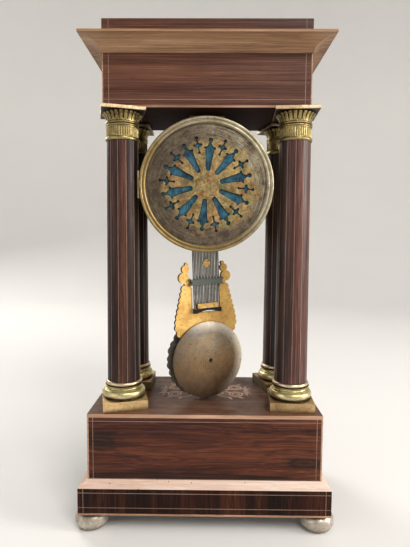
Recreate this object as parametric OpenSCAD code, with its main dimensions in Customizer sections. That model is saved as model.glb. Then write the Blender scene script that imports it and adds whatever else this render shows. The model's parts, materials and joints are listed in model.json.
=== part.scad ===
/* [Plinth] */
// Diameter of each bun foot at its widest
foot_d = 34; // [28:1:40]
// Height of each bun foot
foot_h = 19.5; // [17:0.5:28]
// Reach of the feet past the ends of the lower plinth
foot_past = 7; // [0:0.5:8]
// Height of the lower plinth
lower_h = 26.5; // [18:0.5:36]
// Height of the sloped moulding round the foot of the upper plinth
slope_h = 5.5; // [3:0.5:10]
// Width of the sloped moulding, and so of the lower plinth past the upper one
slope_w = 8; // [4:0.5:12]
// Height of the upper plinth box, without its top board
upper_h = 67.5; // [50:0.5:90]
// Thickness of the plinth walls
plinth_wall = 12; // [8:0.5:14]
// Plinth top past the base blocks at each end
margin_x = 9; // [5:0.5:20]
// Plinth top past the base blocks at the front and the rear
margin_y = 6.8; // [5:0.1:16]
// Visible edge of the plinth top board
top_lip = 3.5; // [2:0.5:6]
// Part of the top board that drops inside the plinth walls
top_rebate = 6; // [3:0.5:10]

/* [Columns] */
// Space between a column shaft and the rear door's rim, from side to side
column_gap = 1; // [0.8:0.1:6]
// Distance between column axes from front to rear
column_span_y = 61.4; // [60:0.2:66]
// Turn of each column: rear right, rear left, front right, front left
column_turn = [15, -4, 0, 15]; // [-15:1:15]
// Sideways shift of each column, in the same order
column_shift = [0, -4, 0, 0]; // [-4:0.5:4]
// Height of the square base block
block_h = 9.5; // [6:0.5:14]
// Reach of the base block past the shaft
block_reach = 5.4; // [5:0.1:8]
// Height of the turned mouldings over the base block
base_turned_h = 17.5; // [15:0.5:22]
// Reach of the base's large torus past the shaft
torus_reach = 4.8; // [3.6:0.1:5]
// Diameter of the shaft at the bottom
shaft_d_low = 33.2; // [30:0.2:38]
// Diameter of the shaft at the top
shaft_d_high = 30.8; // [28:0.2:33]
// Height of the shaft
shaft_h = 239; // [215:1:300]
// Height of the turned capital under its abacus
capital_h = 27; // [24:0.5:34]
// Reach of the capital's flared top past the shaft
echinus_reach = 3.3; // [2.5:0.1:5]
// Reach of the square abacus past the shaft
abacus_reach = 5.6; // [5:0.1:8]
// Thickness of the abacus
abacus_h = 4; // [3:0.5:6]
// Diameter of the tie rod inside each column
rod_d = 6; // [4:0.5:8]
// Size of the rod nuts across their corners
nut_d = 11; // [9:0.5:12]
// Thickness of the rod nuts
nut_h = 4; // [3:0.5:6]
// Rod end past each nut
rod_past = 3; // [2:0.5:6]

/* [Entablature] */
// Reach of the frieze past the column shafts at each end
frieze_over = 1.6; // [1:0.1:8]
// Height of the frieze over the soffit edge
frieze_h = 48.3; // [36:0.1:60]
// Thickness of the frieze walls
frieze_wall = 5; // [3:0.5:6]
// Space between the rod nuts and the frieze walls
nut_room = 1.05; // [0.8:0.05:6]
// Visible edge of the soffit board
soffit_lip = 2.2; // [1.5:0.1:4]
// Part of the soffit board inside the frieze walls
soffit_rebate = 6; // [4:0.5:10]
// Sideways reach of the cornice past the frieze
cornice_reach = 18.5; // [12:0.5:24]
// Height of the cornice
cornice_h = 13.5; // [10:0.5:18]
// Height of the fillets at the top and bottom of the cornice
cornice_fillet = 2.2; // [1.5:0.1:3]
// Small step of the cornice over the frieze
cornice_step = 1.2; // [0.6:0.1:2]
// Reach of the top cap past the frieze at each end
cap_over = 0.2; // [0:0.1:8]
// Height of the top cap
cap_h = 18.5; // [12:0.5:26]

/* [Drum] */
// Outer diameter of the drum, which sets the size of the movement, the doors and the portico's width
drum_d = 122; // [110:1:134]
// Wall of the drum
drum_wall = 1.5; // [1.2:0.1:2]
// Front edge of the drum, forward of the column centre plane
drum_front = 40; // [37:0.5:42]
// Space between the drum's rear rim and the soffit
drum_hang = 7.1; // [5:0.1:14]
// Reach of the drum's end flanges past its wall
flange_reach = 3.5; // [2:0.1:4]
// Thickness of the drum's end flanges
flange_t = 2; // [1.5:0.1:2.5]
// Width of the hanging saddle
saddle_w = 36; // [24:1:48]
// Depth of the hanging saddle
saddle_d = 32; // [20:1:36]
// Width of the pendulum slot in the drum's underside
slot_w = 58; // [52:1:64]
// Depth of the pendulum slot from front to rear
slot_d = 19; // [18:0.5:21]
// Lap of the movement's front plate on its seat in the drum
seat_lap = 6; // [4:0.5:8]
// Thickness of the ring that seats the movement
seat_t = 2; // [1.5:0.1:2.5]

/* [Doors] */
// Reach of the two door rings past the drum wall
door_reach = 5.2; // [4.4:0.1:6]
// Width of the rear door ring
door_band = 6.7; // [6:0.1:8]
// Thickness of the rear door ring without its beads
rear_door_t = 3.2; // [2.8:0.1:3.8]
// Lap of the fret plate under the rear door ring
fret_lap = 2; // [1:0.1:2.2]
// Thickness of the fret plate
fret_t = 1.2; // [1:0.1:1.4]
// Number of lancets, and of crosses, in the fret
fret_count = 10; // [8:1:10]
// Turn of the fret from upright
fret_turn = 5.5; // [-18:0.5:18]
// Thickness of the cloth behind the fret
cloth_t = 0.5; // [0.3:0.1:0.6]
// Width of the front bezel ring
bezel_band = 13.7; // [12:0.1:14]
// Depth of the front bezel
bezel_t = 10.5; // [10:0.1:12]
// Depth of the bezel's lip in front of the glass
bezel_lip = 4.8; // [4.4:0.1:5]
// Thickness of the glass
glass_t = 1.5; // [1.2:0.1:1.8]
// Rise of the domed glass
glass_rise = 3; // [2:0.1:4]
// Diameter of the hinge knuckles
knuckle_d = 2.8; // [2.6:0.1:3]
// Height of one hinge knuckle
knuckle_h = 9; // [7:0.5:11]
// Diameter of the hinge pins
pin_d = 1.4; // [1.2:0.1:1.6]
// Hinge axis past the door rings
hinge_reach = 0.4; // [0.3:0.05:0.6]

/* [Dial and hands] */
// Space between the dial's edge and the drum wall
dial_edge = 5.5; // [3:0.5:8]
// Thickness of the dial
dial_t = 1.5; // [1.2:0.1:2]
// Space between the drum's front edge and the movement's front plate
dial_room = 9; // [8.9:0.1:9.6]
// Diameter of the dial feet
dial_foot_d = 3; // [2:0.1:4]
// Diameter of the winding holes
key_hole_d = 7; // [6:0.5:9]
// Length of the minute hand as a share of the dial's diameter
minute_share = 0.39; // [0.34:0.01:0.41]
// Length of the hour hand as a share of the dial's diameter
hour_share = 0.27; // [0.22:0.01:0.3]
// Thickness of the hands
hand_t = 0.7; // [0.5:0.1:0.9]
// Diameter of the tube that carries the minute hand
cannon_d = 4; // [3.6:0.1:4.2]
// Diameter of the pipe that carries the hour hand
pipe_d = 6; // [5.6:0.1:6.4]
// Hour shown on the dial
shown_hour = 10; // [0:1:11]
// Minutes shown on the dial
shown_minute = 9; // [0:1:59]

/* [Movement] */
// Space between the movement plates and the drum wall
plate_room = 7.5; // [6.5:0.5:8]
// Thickness of the movement plates
plate_t = 2; // [1.8:0.1:2.2]
// Space between the movement plates
plate_gap = 33; // [29:0.5:36]
// Diameter of the pillars between the plates
pillar_d = 6; // [4:0.5:7]
// Diameter of the slow train arbors
arbor_d = 2.4; // [2:0.1:2.6]
// Diameter of the quick train arbors, under the leaves of their pinions
fine_arbor_d = 1.5; // [1.3:0.1:1.6]
// Diameter of the train pivots
pivot_d = 1.3; // [1.1:0.1:1.4]
// Thickness of the train wheels
wheel_t = 1.2; // [1:0.1:1.4]
// Thickness of the great wheels
great_t = 1.6; // [1.4:0.1:1.8]
// Distance of the great wheels and the escape wheel in front of the back plate
train_back = 7; // [6.5:0.1:7.5]
// Length of the train pinions
pinion_len = 4; // [3.4:0.1:4.2]
// Wall of the barrel drums
barrel_wall = 1.2; // [1:0.1:1.6]
// Diameter of the winding arbors
winding_d = 5; // [4.4:0.1:5.6]
// Diameter of the winding arbors in the plates
winding_pivot_d = 3.6; // [3.2:0.1:4]
// Side of the winding squares
winding_square = 2.5; // [2.2:0.1:2.5]
// Number of escape wheel teeth
escape_n = 30; // [26:1:32]
// Diameter of the minute wheel's stud
stud_d = 2; // [1.8:0.1:2.2]

/* [Strike] */
// Direction of the strike wheel from its barrel
strike_bearing = 118; // [116:1:120]
// Teeth of the strike wheel
strike_n = 48; // [40:1:50]
// Number of hammer pins on the strike wheel
strike_pins = 8; // [6:1:10]
// Depth of the bell
bell_depth = 8.2; // [7:0.1:9]
// Wall of the bell
bell_wall = 1.8; // [1.4:0.1:2.2]
// Space between the pendulum's centre plane and the bell
bell_clear = 9.2; // [8.8:0.1:10]
// Space between the bell's crown and the drum's rear edge
bell_room = 2.1; // [1.8:0.1:5]
// Diameter of the bell stand
stand_d = 5; // [4:0.1:6]

/* [Pendulum] */
// Space between the movement's back plate and the pendulum's centre plane
pend_room = 12; // [11:0.1:13]
// Turn of the pendulum about its own length
pend_turn = 27; // [0:1:28]
// Lean of the pendulum from the plumb line
pend_lean = 2.2; // [1.5:0.1:2.5]
// Gap between the bob and the plinth top
bob_gap = 3; // [2.5:0.5:12]
// Diameter of the bob
bob_d = 81; // [72:1:86]
// Step from the bob's edge in to its raised front
bob_step = 6; // [5:0.5:10]
// Depth of the bob's raised front
bob_front_t = 8; // [5:0.1:9]
// Edge of the bob's shell
bob_edge = 2.2; // [1.5:0.1:3]
// Rise of the bob's domed back
bob_dome = 4.5; // [3:0.1:6]
// Reach of the chased wreath past the bob's edge
wreath_past = 2.2; // [0:0.1:2.4]
// Width of the chased wreath
wreath_w = 15; // [10:0.5:20]
// Thickness of the chased wreath
wreath_t = 4; // [2:0.1:5]
// Number of leaf pairs round the wreath
wreath_pairs = 16; // [12:1:20]
// Thickness of the gilt plate
ormolu_t = 3.4; // [2:0.1:4]
// Diameter of the gridiron rods
grid_rod_d = 2.8; // [2:0.1:2.9]
// Distance between neighbouring rods
grid_pitch = 3.45; // [3.3:0.05:3.6]
// Number of rods
grid_count = 9; // [5:2:9]
// Drop from the suspension to the gridiron's top bar
grid_drop = 34; // [32:0.5:36]
// Height of the gridiron's top bar
top_bar_h = 5; // [4:0.1:6]
// Height of the gridiron's bottom bar
low_bar_h = 10; // [8:0.1:12]
// Height of the steel crossbar
cross_h = 6; // [4:0.1:7]
// Diameter of the single rod over the gridiron
top_rod_d = 2.6; // [2:0.1:2.8]
// Drop from the suspension to the block of the spring
spring_drop = 8; // [6:0.5:10]
// Height of the block of the spring
spring_block_h = 5; // [4:0.5:6]
// Width of the suspension spring
spring_w = 7; // [5:0.5:8]
// Thickness of the suspension spring
spring_t = 0.4; // [0.3:0.05:0.5]

/* [Fits] */
// Radial play of running shafts
run_play = 0.05; // [0.04:0.01:0.08]
// Gap between parts that only pass or face each other
gap = 0.3; // [0.25:0.05:0.4]
// Radial play of a rod in its bore
rod_play = 0.5; // [0.3:0.1:1]

/* [Hidden] */
$fn = 72;

rosewood = "#5a2c1e";
pale_wood = "#b08d78";
tan_wood = "#8a5a36";
dark_wood = "#2b1a14";
gilt = "#c9a24a";
brass = "#a8884a";
tarnish = "#75664a";
steel = "#5c6066";
blued = "#22252b";

CORNERS = [[1, 1], [-1, 1], [1, -1], [-1, -1]];
CORNER_NAMES = ["rear_right", "rear_left", "front_right", "front_left"];

// Tooth counts fix the rate of the clock, so they do not change with its size
great_n = 72;
drive_n = 9;
inter_n = 56;
centre_pinion_n = 8;
centre_n = 84;
third_pinion_n = 7;
third_n = 77;
escape_pinion_n = 7;
cannon_n = 12;
minute_n = 36;
minute_pinion_n = 10;
hour_n = 40;

// Sizes of the doors and the movement, from the drum outward and inward
drum_r = drum_d / 2;
bore_r = drum_r - drum_wall;
flange_d = drum_d + 2 * flange_reach;
door_d = drum_d + 2 * door_reach;
door_open = door_d - 2 * door_band;
fret_d = door_open + 2 * fret_lap;
bezel_open = door_d - 2 * bezel_band;
hinge_x = door_d / 2 + hinge_reach;
plate_d = 2 * (bore_r - plate_room);
seat_d = plate_d - 2 * seat_lap;
dial_d = 2 * (bore_r - dial_edge);
dial_foot_r = seat_d / 2 - dial_foot_d - 2;

// Sizes across the portico, from the drum to the columns and out to the plinth and the frieze
block_w = shaft_d_low + 2 * block_reach;
torus_r = shaft_d_low / 2 + torus_reach;
echinus_r = shaft_d_high / 2 + echinus_reach;
abacus_w = shaft_d_high + 2 * abacus_reach;
column_span_x = door_d + 2 * column_gap + shaft_d_low;
upper_w = column_span_x + block_w + 2 * margin_x;
upper_d = column_span_y + block_w + 2 * margin_y;
lower_w = upper_w + 2 * slope_w;
lower_d = upper_d + 2 * slope_w;
frieze_w = column_span_x + shaft_d_high + 2 * frieze_over;
frieze_d = column_span_y + nut_d + 2 * (nut_room + frieze_wall);
cap_w = frieze_w + 2 * cap_over;

// Heights from the floor up
lower_z = foot_h;
upper_z = lower_z + lower_h;
lip_z = upper_z + upper_h;
plinth_top_z = lip_z + top_lip;
turned_z = plinth_top_z + block_h;
shaft_z = turned_z + base_turned_h;
capital_z = shaft_z + shaft_h;
abacus_z = capital_z + capital_h;
soffit_z = abacus_z + abacus_h;
frieze_z = soffit_z + soffit_lip;
cornice_z = frieze_z + frieze_h;
cap_z = cornice_z + cornice_h;
drum_z = soffit_z - drum_hang - door_d / 2;

// Depths along the drum axis, front negative
drum_front_y = -drum_front;
front_plate_y = drum_front_y + dial_room;
inner_front_y = front_plate_y + plate_t;
inner_back_y = inner_front_y + plate_gap;
outer_back_y = inner_back_y + plate_t;
pend_y = outer_back_y + pend_room;
bell_y = pend_y + bell_clear;
drum_back = bell_y + bell_depth + bell_room;
dial_y = drum_front_y + 0.5;
bezel_y = drum_front_y - gap;
rear_door_y = drum_back + gap;
hinge_stand = knuckle_d / 2 + gap;
bezel_hinge_y = bezel_y - hinge_stand;
rear_hinge_y = rear_door_y + hinge_stand;

// The movement is laid out for a drum of 122 mm and scales with it
mu = drum_d / 122;
great_m = 0.66 * mu;
inter_m = 0.65 * mu;
centre_m = 0.42 * mu;
third_m = 0.38 * mu;
strike_m = 0.32 * mu;
motion_reach = 12 * mu;
barrel_d = 35 * mu;
escape_r = 9 * mu;
escape_drop = 12.8 * mu;
bell_r = 38 * mu;
bell_drop = 4 * mu;
hammer_r = 3.4 * mu;
hammer_arm = 13.5 * mu;
minute_len = minute_share * dial_d;
hour_len = hour_share * dial_d;

// Wheel centres, to the side of and over the drum axis
centre_at = [0, 0];
going_at = mu * [25.5, -14];
strike_at = mu * [-25.5, -14];
hang_at = mu * [5, 41.8];
hammer_at = mu * [-47, 3];
stand_at = mu * [-22, -24];
escape_at = hang_at - [0, escape_drop];
great_reach = great_m * (great_n + drive_n) / 2;
inter_reach = inter_m * (inter_n + centre_pinion_n) / 2;
third_reach = centre_m * (centre_n + third_pinion_n) / 2;
escape_reach = third_m * (third_n + escape_pinion_n) / 2;
inter_at = meet(centre_at, inter_reach, going_at, great_reach, 1);
third_at = meet(centre_at, third_reach, escape_at, escape_reach, 1);
strike_wheel_at = strike_at + polar(great_reach, strike_bearing);
motion_at = polar(motion_reach, 60);
cannon_m = 2 * motion_reach / (cannon_n + minute_n);
hour_m = 2 * motion_reach / (minute_pinion_n + hour_n);
pillar_spots = mu * [[30, 36], [-30, 36], [14, -44], [-14, -44]];

// Planes of the train wheels
great_y = inner_back_y - train_back;
inter_y = great_y + great_t + pinion_len / 2;
centre_y = inner_front_y + 1;
third_y = inner_front_y + plate_gap / 2 + 0.5;
escape_y = inner_back_y - train_back;
strike_y = inner_front_y + plate_gap / 3;
barrel_y = inner_front_y + 4;
cannon_y = front_plate_y - 3.5;
hour_y = cannon_y - 2.2;
hour_hand_y = dial_y - 2.3;
minute_hand_y = hour_hand_y - 2;

// Pendulum, from the suspension down; its castings are drawn for a bob of 80 mm and scale with it
hang_x = hang_at[0];
hang_z = drum_z + hang_at[1];
bob_drop = hang_z - plinth_top_z - bob_gap - bob_d / 2;
bob_front_d = bob_d - 2 * bob_step;
wreath_d = bob_d + 2 * wreath_past;
pu = bob_d / 80;
grid_half = grid_pitch * (grid_count - 1) / 2 + grid_rod_d / 2;
notch_half = grid_half + 0.7;
notch_rise = 50 * pu;
arm_rise = 76 * pu;
cross_rise = 82 * pu;
clasp_rise = 101 * pu;
shell_y = -grid_rod_d / 2 - gap;
grid_foot = -bob_drop + notch_rise;
saddle_h = low_bar_h / 2;

function polar(r, a) = [r * cos(a), r * sin(a)];
function meet(a, ra, b, rb, side) =
  let (v = b - a, d = norm(v), u = v / d, k = (ra * ra - rb * rb + d * d) / (2 * d))
  a + k * u + side * sqrt(ra * ra - k * k) * [-u[1], u[0]];
function bearing(a, b) = atan2(b[1] - a[1], b[0] - a[0]);

// One tooth as pairs of radius and share of the pitch angle
function wheel_tooth(n, m) =
  let (r = m * n / 2)
  [[r - 1.45 * m, -0.22], [r, -0.22], [r + 1.1 * m, -0.06],
    [r + 1.1 * m, 0.06], [r, 0.22], [r - 1.45 * m, 0.22]];
function pinion_tooth(n, m) =
  let (r = m * n / 2)
  [[r - 1.55 * m, -0.17], [r, -0.17], [r + 0.7 * m, -0.05],
    [r + 0.7 * m, 0.05], [r, 0.17], [r - 1.55 * m, 0.17]];
function toothed(n, tooth, phase) =
  [for (k = [0:n - 1]) for (p = tooth) polar(p[0], phase + (k + p[1]) * 360 / n)];

// Outline extruded along the drum axis from depth y, over thickness t
module plate_y(y, t) {
  translate([0, y + t, 0])
    rotate([90, 0, 0])
      linear_extrude(t)
        children();
}

// Round bar along the drum axis
module bar_y(d, y0, y1) {
  translate([0, y1, 0])
    rotate([90, 0, 0])
      cylinder(d = d, h = y1 - y0);
}

// Profile of radius and depth turned about the drum axis
module turn_y() {
  rotate([-90, 0, 0])
    rotate_extrude()
      children();
}

// Place on the movement, to the side of and over the drum axis
module on_drum(p) {
  translate([p[0], 0, drum_z + p[1]])
    children();
}

module at(p) {
  translate([p[0], p[1]])
    children();
}

// Flat block centred on the vertical axis
module board(w, d, h, z) {
  translate([-w / 2, -d / 2, z])
    cube([w, d, h]);
}

// Moulding run round a rectangle, mitred at its corners
module moulded(w, d, z, reach) {
  translate([0, 0, z])
    intersection() {
      translate([0, d, 0])
        rotate([90, 0, 0])
          linear_extrude(2 * d)
            polygon(concat([for (p = reach) [w / 2 + p[0], p[1]]],
              [for (i = [len(reach) - 1:-1:0]) [-w / 2 - reach[i][0], reach[i][1]]]));
      translate([-w, 0, 0])
        rotate([90, 0, 90])
          linear_extrude(2 * w)
            polygon(concat([for (p = reach) [d / 2 + p[0], p[1]]],
              [for (i = [len(reach) - 1:-1:0]) [-d / 2 - reach[i][0], reach[i][1]]]));
    }
}

// Place of a column by its corner
module on_column(c, z) {
  translate([CORNERS[c][0] * column_span_x / 2 + column_shift[c], CORNERS[c][1] * column_span_y / 2, z])
    rotate(column_turn[c])
      children();
}

// Bore for the tie rod
module rod_bore(h) {
  translate([0, 0, -1])
    cylinder(d = rod_d + 2 * rod_play, h = h + 2);
}

// Turned bun with a flat sole and a short neck
module foot(c) {
  belly = foot_h / 2;
  sole = 1;
  neck_r = 0.62 * foot_d / 2;
  color(pale_wood)
    translate([CORNERS[c][0] * (lower_w / 2 + foot_past - foot_d / 2),
      CORNERS[c][1] * (lower_d - foot_d) / 2, 0])
      rotate_extrude()
        intersection() {
          union() {
            translate([foot_d / 2 - belly, belly - sole])
              circle(belly);
            square([foot_d / 2 - belly, foot_h]);
            translate([0, foot_h - 5])
              square([neck_r, 5]);
          }
          square([foot_d, foot_h]);
        }
}

module lower_plinth() {
  color(rosewood)
    board(lower_w, lower_d, lower_h, lower_z);
}

module plinth_moulding() {
  color(pale_wood)
    difference() {
      moulded(upper_w, upper_d, upper_z, [[slope_w, 0], [0, slope_h]]);
      board(upper_w, upper_d, slope_h + 2, upper_z - 1);
    }
}

module upper_plinth() {
  color(rosewood)
    difference() {
      board(upper_w, upper_d, upper_h, upper_z);
      board(upper_w - 2 * plinth_wall, upper_d - 2 * plinth_wall, upper_h + 2, upper_z - 1);
    }
}

// Rebated board with holes for the tie rods
module plinth_top() {
  inside = 2 * plinth_wall + gap;
  color(rosewood)
    difference() {
      union() {
        board(upper_w, upper_d, top_lip, lip_z);
        board(upper_w - inside, upper_d - inside, top_rebate, lip_z - top_rebate);
      }
      for (c = [0:3])
        on_column(c, lip_z - top_rebate)
          rod_bore(top_rebate + top_lip);
    }
}

// Square block, large torus, hollow scotia and upper ring
module column_base(c) {
  bead = torus_r * 0.22;
  ring = 2.2;
  ring_r = shaft_d_low / 2 + 1.7;
  scotia = base_turned_h - 2 * bead - 2 * ring;
  color(brass)
    on_column(c, plinth_top_z)
      difference() {
        union() {
          board(block_w, block_w, block_h, 0);
          translate([0, 0, block_h])
            rotate_extrude()
              difference() {
                union() {
                  translate([torus_r - bead, bead])
                    circle(bead);
                  square([torus_r - bead, 2 * bead]);
                  square([ring_r + 0.6, base_turned_h - 2 * ring]);
                  translate([ring_r - ring, base_turned_h - ring])
                    circle(ring);
                  translate([0, base_turned_h - 2 * ring])
                    square([ring_r - ring, 2 * ring]);
                }
                translate([ring_r + 1, 2 * bead + scotia / 2])
                  circle(scotia * 0.45);
              }
        }
        rod_bore(block_h + base_turned_h);
      }
}

module column_shaft(c) {
  color(rosewood)
    on_column(c, shaft_z)
      difference() {
        cylinder(d1 = shaft_d_low, d2 = shaft_d_high, h = shaft_h);
        rod_bore(shaft_h);
      }
}

// Bottom ring, neck, two astragals, flared echinus and square abacus
module column_capital(c) {
  neck_r = shaft_d_high / 2 + 0.4;
  bead = 1.25;
  flare_h = 7.5;
  flare_z = capital_h - flare_h;
  flare = echinus_r - neck_r;
  color(brass)
    on_column(c, capital_z)
      difference() {
        union() {
          rotate_extrude()
            union() {
              square([neck_r, capital_h]);
              for (z = [bead, flare_z - 3.6 * bead, flare_z - bead])
                translate([neck_r - 0.4, z])
                  circle(bead);
              polygon(concat([[0, flare_z]],
                [for (t = [0:15:90]) [neck_r + flare * sin(t), flare_z + flare_h * (1 - cos(t))]],
                [[0, capital_h]]));
            }
          board(abacus_w, abacus_w, abacus_h, capital_h);
        }
        rod_bore(capital_h + abacus_h);
      }
}

// Four tie rods and their nuts, under the plinth top and over the soffit
module column_rods() {
  low_z = lip_z - top_rebate;
  high_z = frieze_z + soffit_rebate;
  color(steel)
    for (c = [0:3]) {
      on_column(c, low_z - nut_h - rod_past)
        cylinder(d = rod_d, h = high_z - low_z + 2 * (nut_h + rod_past));
      for (z = [low_z - nut_h, high_z])
        on_column(c, z)
          difference() {
            cylinder(d = nut_d, h = nut_h, $fn = 6);
            translate([0, 0, -1])
              cylinder(d = rod_d + 2 * run_play, h = nut_h + 2);
          }
    }
}

// Rebated board under the frieze
module soffit() {
  inside = 2 * frieze_wall + gap;
  color(dark_wood)
    difference() {
      union() {
        board(frieze_w, frieze_d, soffit_lip, soffit_z);
        board(frieze_w - inside, frieze_d - inside, soffit_rebate, frieze_z);
      }
      for (c = [0:3])
        on_column(c, soffit_z)
          rod_bore(soffit_lip + soffit_rebate);
    }
}

module frieze() {
  color(rosewood)
    difference() {
      board(frieze_w, frieze_d, frieze_h, frieze_z);
      board(frieze_w - 2 * frieze_wall, frieze_d - 2 * frieze_wall, frieze_h + 2, frieze_z - 1);
    }
}

// Fillet, hollow flare and top fillet run round the frieze
module cornice() {
  rise = cornice_h - 2 * cornice_fillet;
  run = cornice_reach - cornice_step;
  color(tan_wood)
    moulded(frieze_w, frieze_d, cornice_z, concat([[cornice_step, 0]],
      [for (t = [0:10:90]) [cornice_step + run * (1 - cos(t)), cornice_fillet + rise * sin(t)]],
      [[cornice_reach, cornice_h]]));
}

module top_cap() {
  color(rosewood)
    board(cap_w, frieze_d, cap_h, cap_z);
}

// Drum knuckles, on lugs that stand out of a flange whose faces are at edge_y and flange_y
module drum_knuckles(y, edge_y, flange_y) {
  tall = knuckle_h - gap;
  for (row = [-1, 1])
    on_drum([0, row * knuckle_h - tall / 2]) {
      translate([hinge_x, y, 0])
        cylinder(d = knuckle_d, h = tall);
      translate([hinge_x - knuckle_d / 2, min(y, flange_y), 0])
        cube([knuckle_d, abs(y - flange_y), tall]);
      translate([drum_r, min(edge_y, flange_y), 0])
        cube([hinge_x - drum_r, flange_t, tall]);
    }
}

// Door knuckle between them, with a web back to a ring of radius r
module door_knuckle(y, face_y, r) {
  tall = knuckle_h - gap;
  web = 3;
  on_drum([0, -tall / 2]) {
    translate([hinge_x, y, 0])
      cylinder(d = knuckle_d, h = tall);
    translate([r - web, min(y, face_y), 0])
      cube([hinge_x - r + web, abs(y - face_y), tall]);
  }
}

// Shell with end flanges, movement seat, hanging saddle, slot and hinge knuckles with their pins
module drum_case() {
  pin_len = 3 * knuckle_h - gap;
  color(brass)
    union() {
      difference() {
        union() {
          on_drum([0, 0]) {
            bar_y(drum_d, drum_front_y, drum_back);
            bar_y(flange_d, drum_front_y, drum_front_y + flange_t);
            bar_y(flange_d, drum_back - flange_t, drum_back);
          }
          translate([-saddle_w / 2, -saddle_d / 2, drum_z])
            cube([saddle_w, saddle_d, soffit_z - drum_z]);
        }
        on_drum([0, 0])
          bar_y(2 * bore_r, drum_front_y - 1, drum_back + 1);
        translate([-slot_w / 2, pend_y - slot_d / 2, drum_z - drum_r - 1])
          cube([slot_w, slot_d, drum_r]);
      }
      on_drum([0, 0])
        difference() {
          bar_y(2 * bore_r + drum_wall, front_plate_y - seat_t, front_plate_y);
          bar_y(seat_d, front_plate_y - seat_t - 1, front_plate_y + 1);
        }
      drum_knuckles(bezel_hinge_y, drum_front_y, drum_front_y + flange_t);
      drum_knuckles(rear_hinge_y, drum_back, drum_back - flange_t);
      for (y = [bezel_hinge_y, rear_hinge_y])
        translate([hinge_x, y, drum_z - pin_len / 2])
          cylinder(d = pin_d, h = pin_len);
    }
}

// Bore of a door's knuckle and room for the drum's knuckles beside it
module hinge_room(y) {
  translate([hinge_x, y, drum_z - 2 * knuckle_h])
    cylinder(d = pin_d + 2 * run_play, h = 4 * knuckle_h);
  for (row = [-1, 1])
    on_drum([0, row * knuckle_h - (knuckle_h + gap) / 2])
      translate([hinge_x - knuckle_d / 2 - gap, y - knuckle_d, 0])
        cube([2 * knuckle_d, 2 * knuckle_d, knuckle_h + gap]);
}

// Beaded ring with a rebate for the fret plate
module rear_door() {
  r = door_d / 2;
  open_r = door_open / 2;
  top = rear_door_t;
  rim = 1.6;
  bead = 1.1;
  color(tarnish)
    difference() {
      union() {
        on_drum([0, 0])
          translate([0, rear_door_y, 0])
            turn_y()
              difference() {
                union() {
                  translate([open_r, 0])
                    square([door_band - gap, top]);
                  translate([r - rim, top - rim / 2 + 0.2])
                    circle(rim);
                  translate([open_r + bead + 0.5, top - gap])
                    circle(bead);
                }
                translate([open_r - 1, -1])
                  square([fret_lap + gap + 1, cloth_t + fret_t + 1]);
              }
        door_knuckle(rear_hinge_y, rear_door_y, r);
      }
      hinge_room(rear_hinge_y);
    }
}

// Fret openings are drawn for a plate of 123 mm and scale with it
fu = fret_d / 123;

// Both sides of an outline given as distance out and half width
function both_sides(half) = concat([for (p = half) fu * [p[0], -p[1]]],
  [for (i = [len(half) - 1:-1:0]) fu * half[i]]);

// Tall lancet opening with spurs at its shoulders, drawn outward along the X axis
module lancet() {
  polygon(both_sides([[13.8, 2.3], [24, 3.1], [33, 4.4], [35.6, 3.9], [37.6, 2.6], [40.5, 1.1], [43, 0.9]]));
  for (s = [-1, 1])
    at(fu * [35.6, s * 4.6])
      circle(1.3 * fu);
  at(fu * [43.3, 0])
    circle(2.1 * fu);
}

// Small cross opening, drawn outward along the X axis
module cross_opening() {
  polygon(both_sides([[31.8, 0.55], [36.4, 0.6], [39.2, 3], [42, 0.6], [46, 0.55]]));
  for (s = [-1, 1])
    at(fu * [39.2, s * 3.3])
      circle(1.2 * fu);
  at(fu * [31.9, 0])
    circle(1.2 * fu);
  at(fu * [46, 0])
    circle(1.5 * fu);
}

module rear_fret() {
  pitch = 360 / fret_count;
  color(tarnish)
    on_drum([0, 0])
      plate_y(rear_door_y + cloth_t, fret_t)
        difference() {
          circle(d = fret_d);
          for (k = [0:fret_count - 1])
            rotate(90 + fret_turn + k * pitch) {
              lancet();
              rotate(pitch / 2)
                cross_opening();
            }
        }
}

module fret_cloth() {
  color("#3d7f9c")
    on_drum([0, 0])
      plate_y(rear_door_y, cloth_t)
        circle(d = door_open - 2 * fret_lap);
}

// Rounded ring with a lip in front of the glass
module bezel() {
  r = door_d / 2;
  open_r = bezel_open / 2;
  lip = 2;
  front = bezel_t;
  round = 7;
  side = 3;
  color(gilt)
    difference() {
      union() {
        on_drum([0, 0])
          translate([0, bezel_y, 0])
            mirror([0, 1, 0])
              turn_y()
                polygon(concat([[open_r + lip, 0], [r, 0]],
                  [for (t = [0:15:90]) [r - round * (1 - cos(t)), side + (front - side) * sin(t)]],
                  [[r - round - lip, front - 1.2], [open_r + 1, front - 0.55 * bezel_lip],
                   [open_r, front - 0.65 * bezel_lip], [open_r, front - bezel_lip],
                   [open_r + lip, front - bezel_lip]]));
        door_knuckle(bezel_hinge_y, bezel_y, r);
      }
      hinge_room(bezel_hinge_y);
    }
}

// Domed disc behind the bezel's lip
module bezel_glass() {
  r = bezel_open / 2 + 1.7;
  edge = bezel_t - bezel_lip - glass_t - gap;
  color("#dfe9ea")
    on_drum([0, 0])
      translate([0, bezel_y, 0])
        mirror([0, 1, 0])
          turn_y()
            polygon(concat(
              [for (i = [0:8]) [r * i / 8, edge + glass_rise * (1 - pow(i / 8, 2))]],
              [for (i = [8:-1:0]) [r * i / 8, edge + glass_t + glass_rise * (1 - pow(i / 8, 2))]]));
}

// Enamelled disc on three feet, with holes for the centre and the keys
module dial() {
  color("#efe9dc")
    on_drum([0, 0]) {
      plate_y(dial_y, dial_t)
        difference() {
          circle(d = dial_d);
          circle(d = pipe_d + 3);
          for (p = [going_at, strike_at])
            at(p)
              circle(d = key_hole_d);
        }
      for (a = [90, 210, 330])
        translate([dial_foot_r * cos(a), 0, dial_foot_r * sin(a)])
          bar_y(dial_foot_d, dial_y + dial_t - 0.1, front_plate_y);
    }
}

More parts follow.
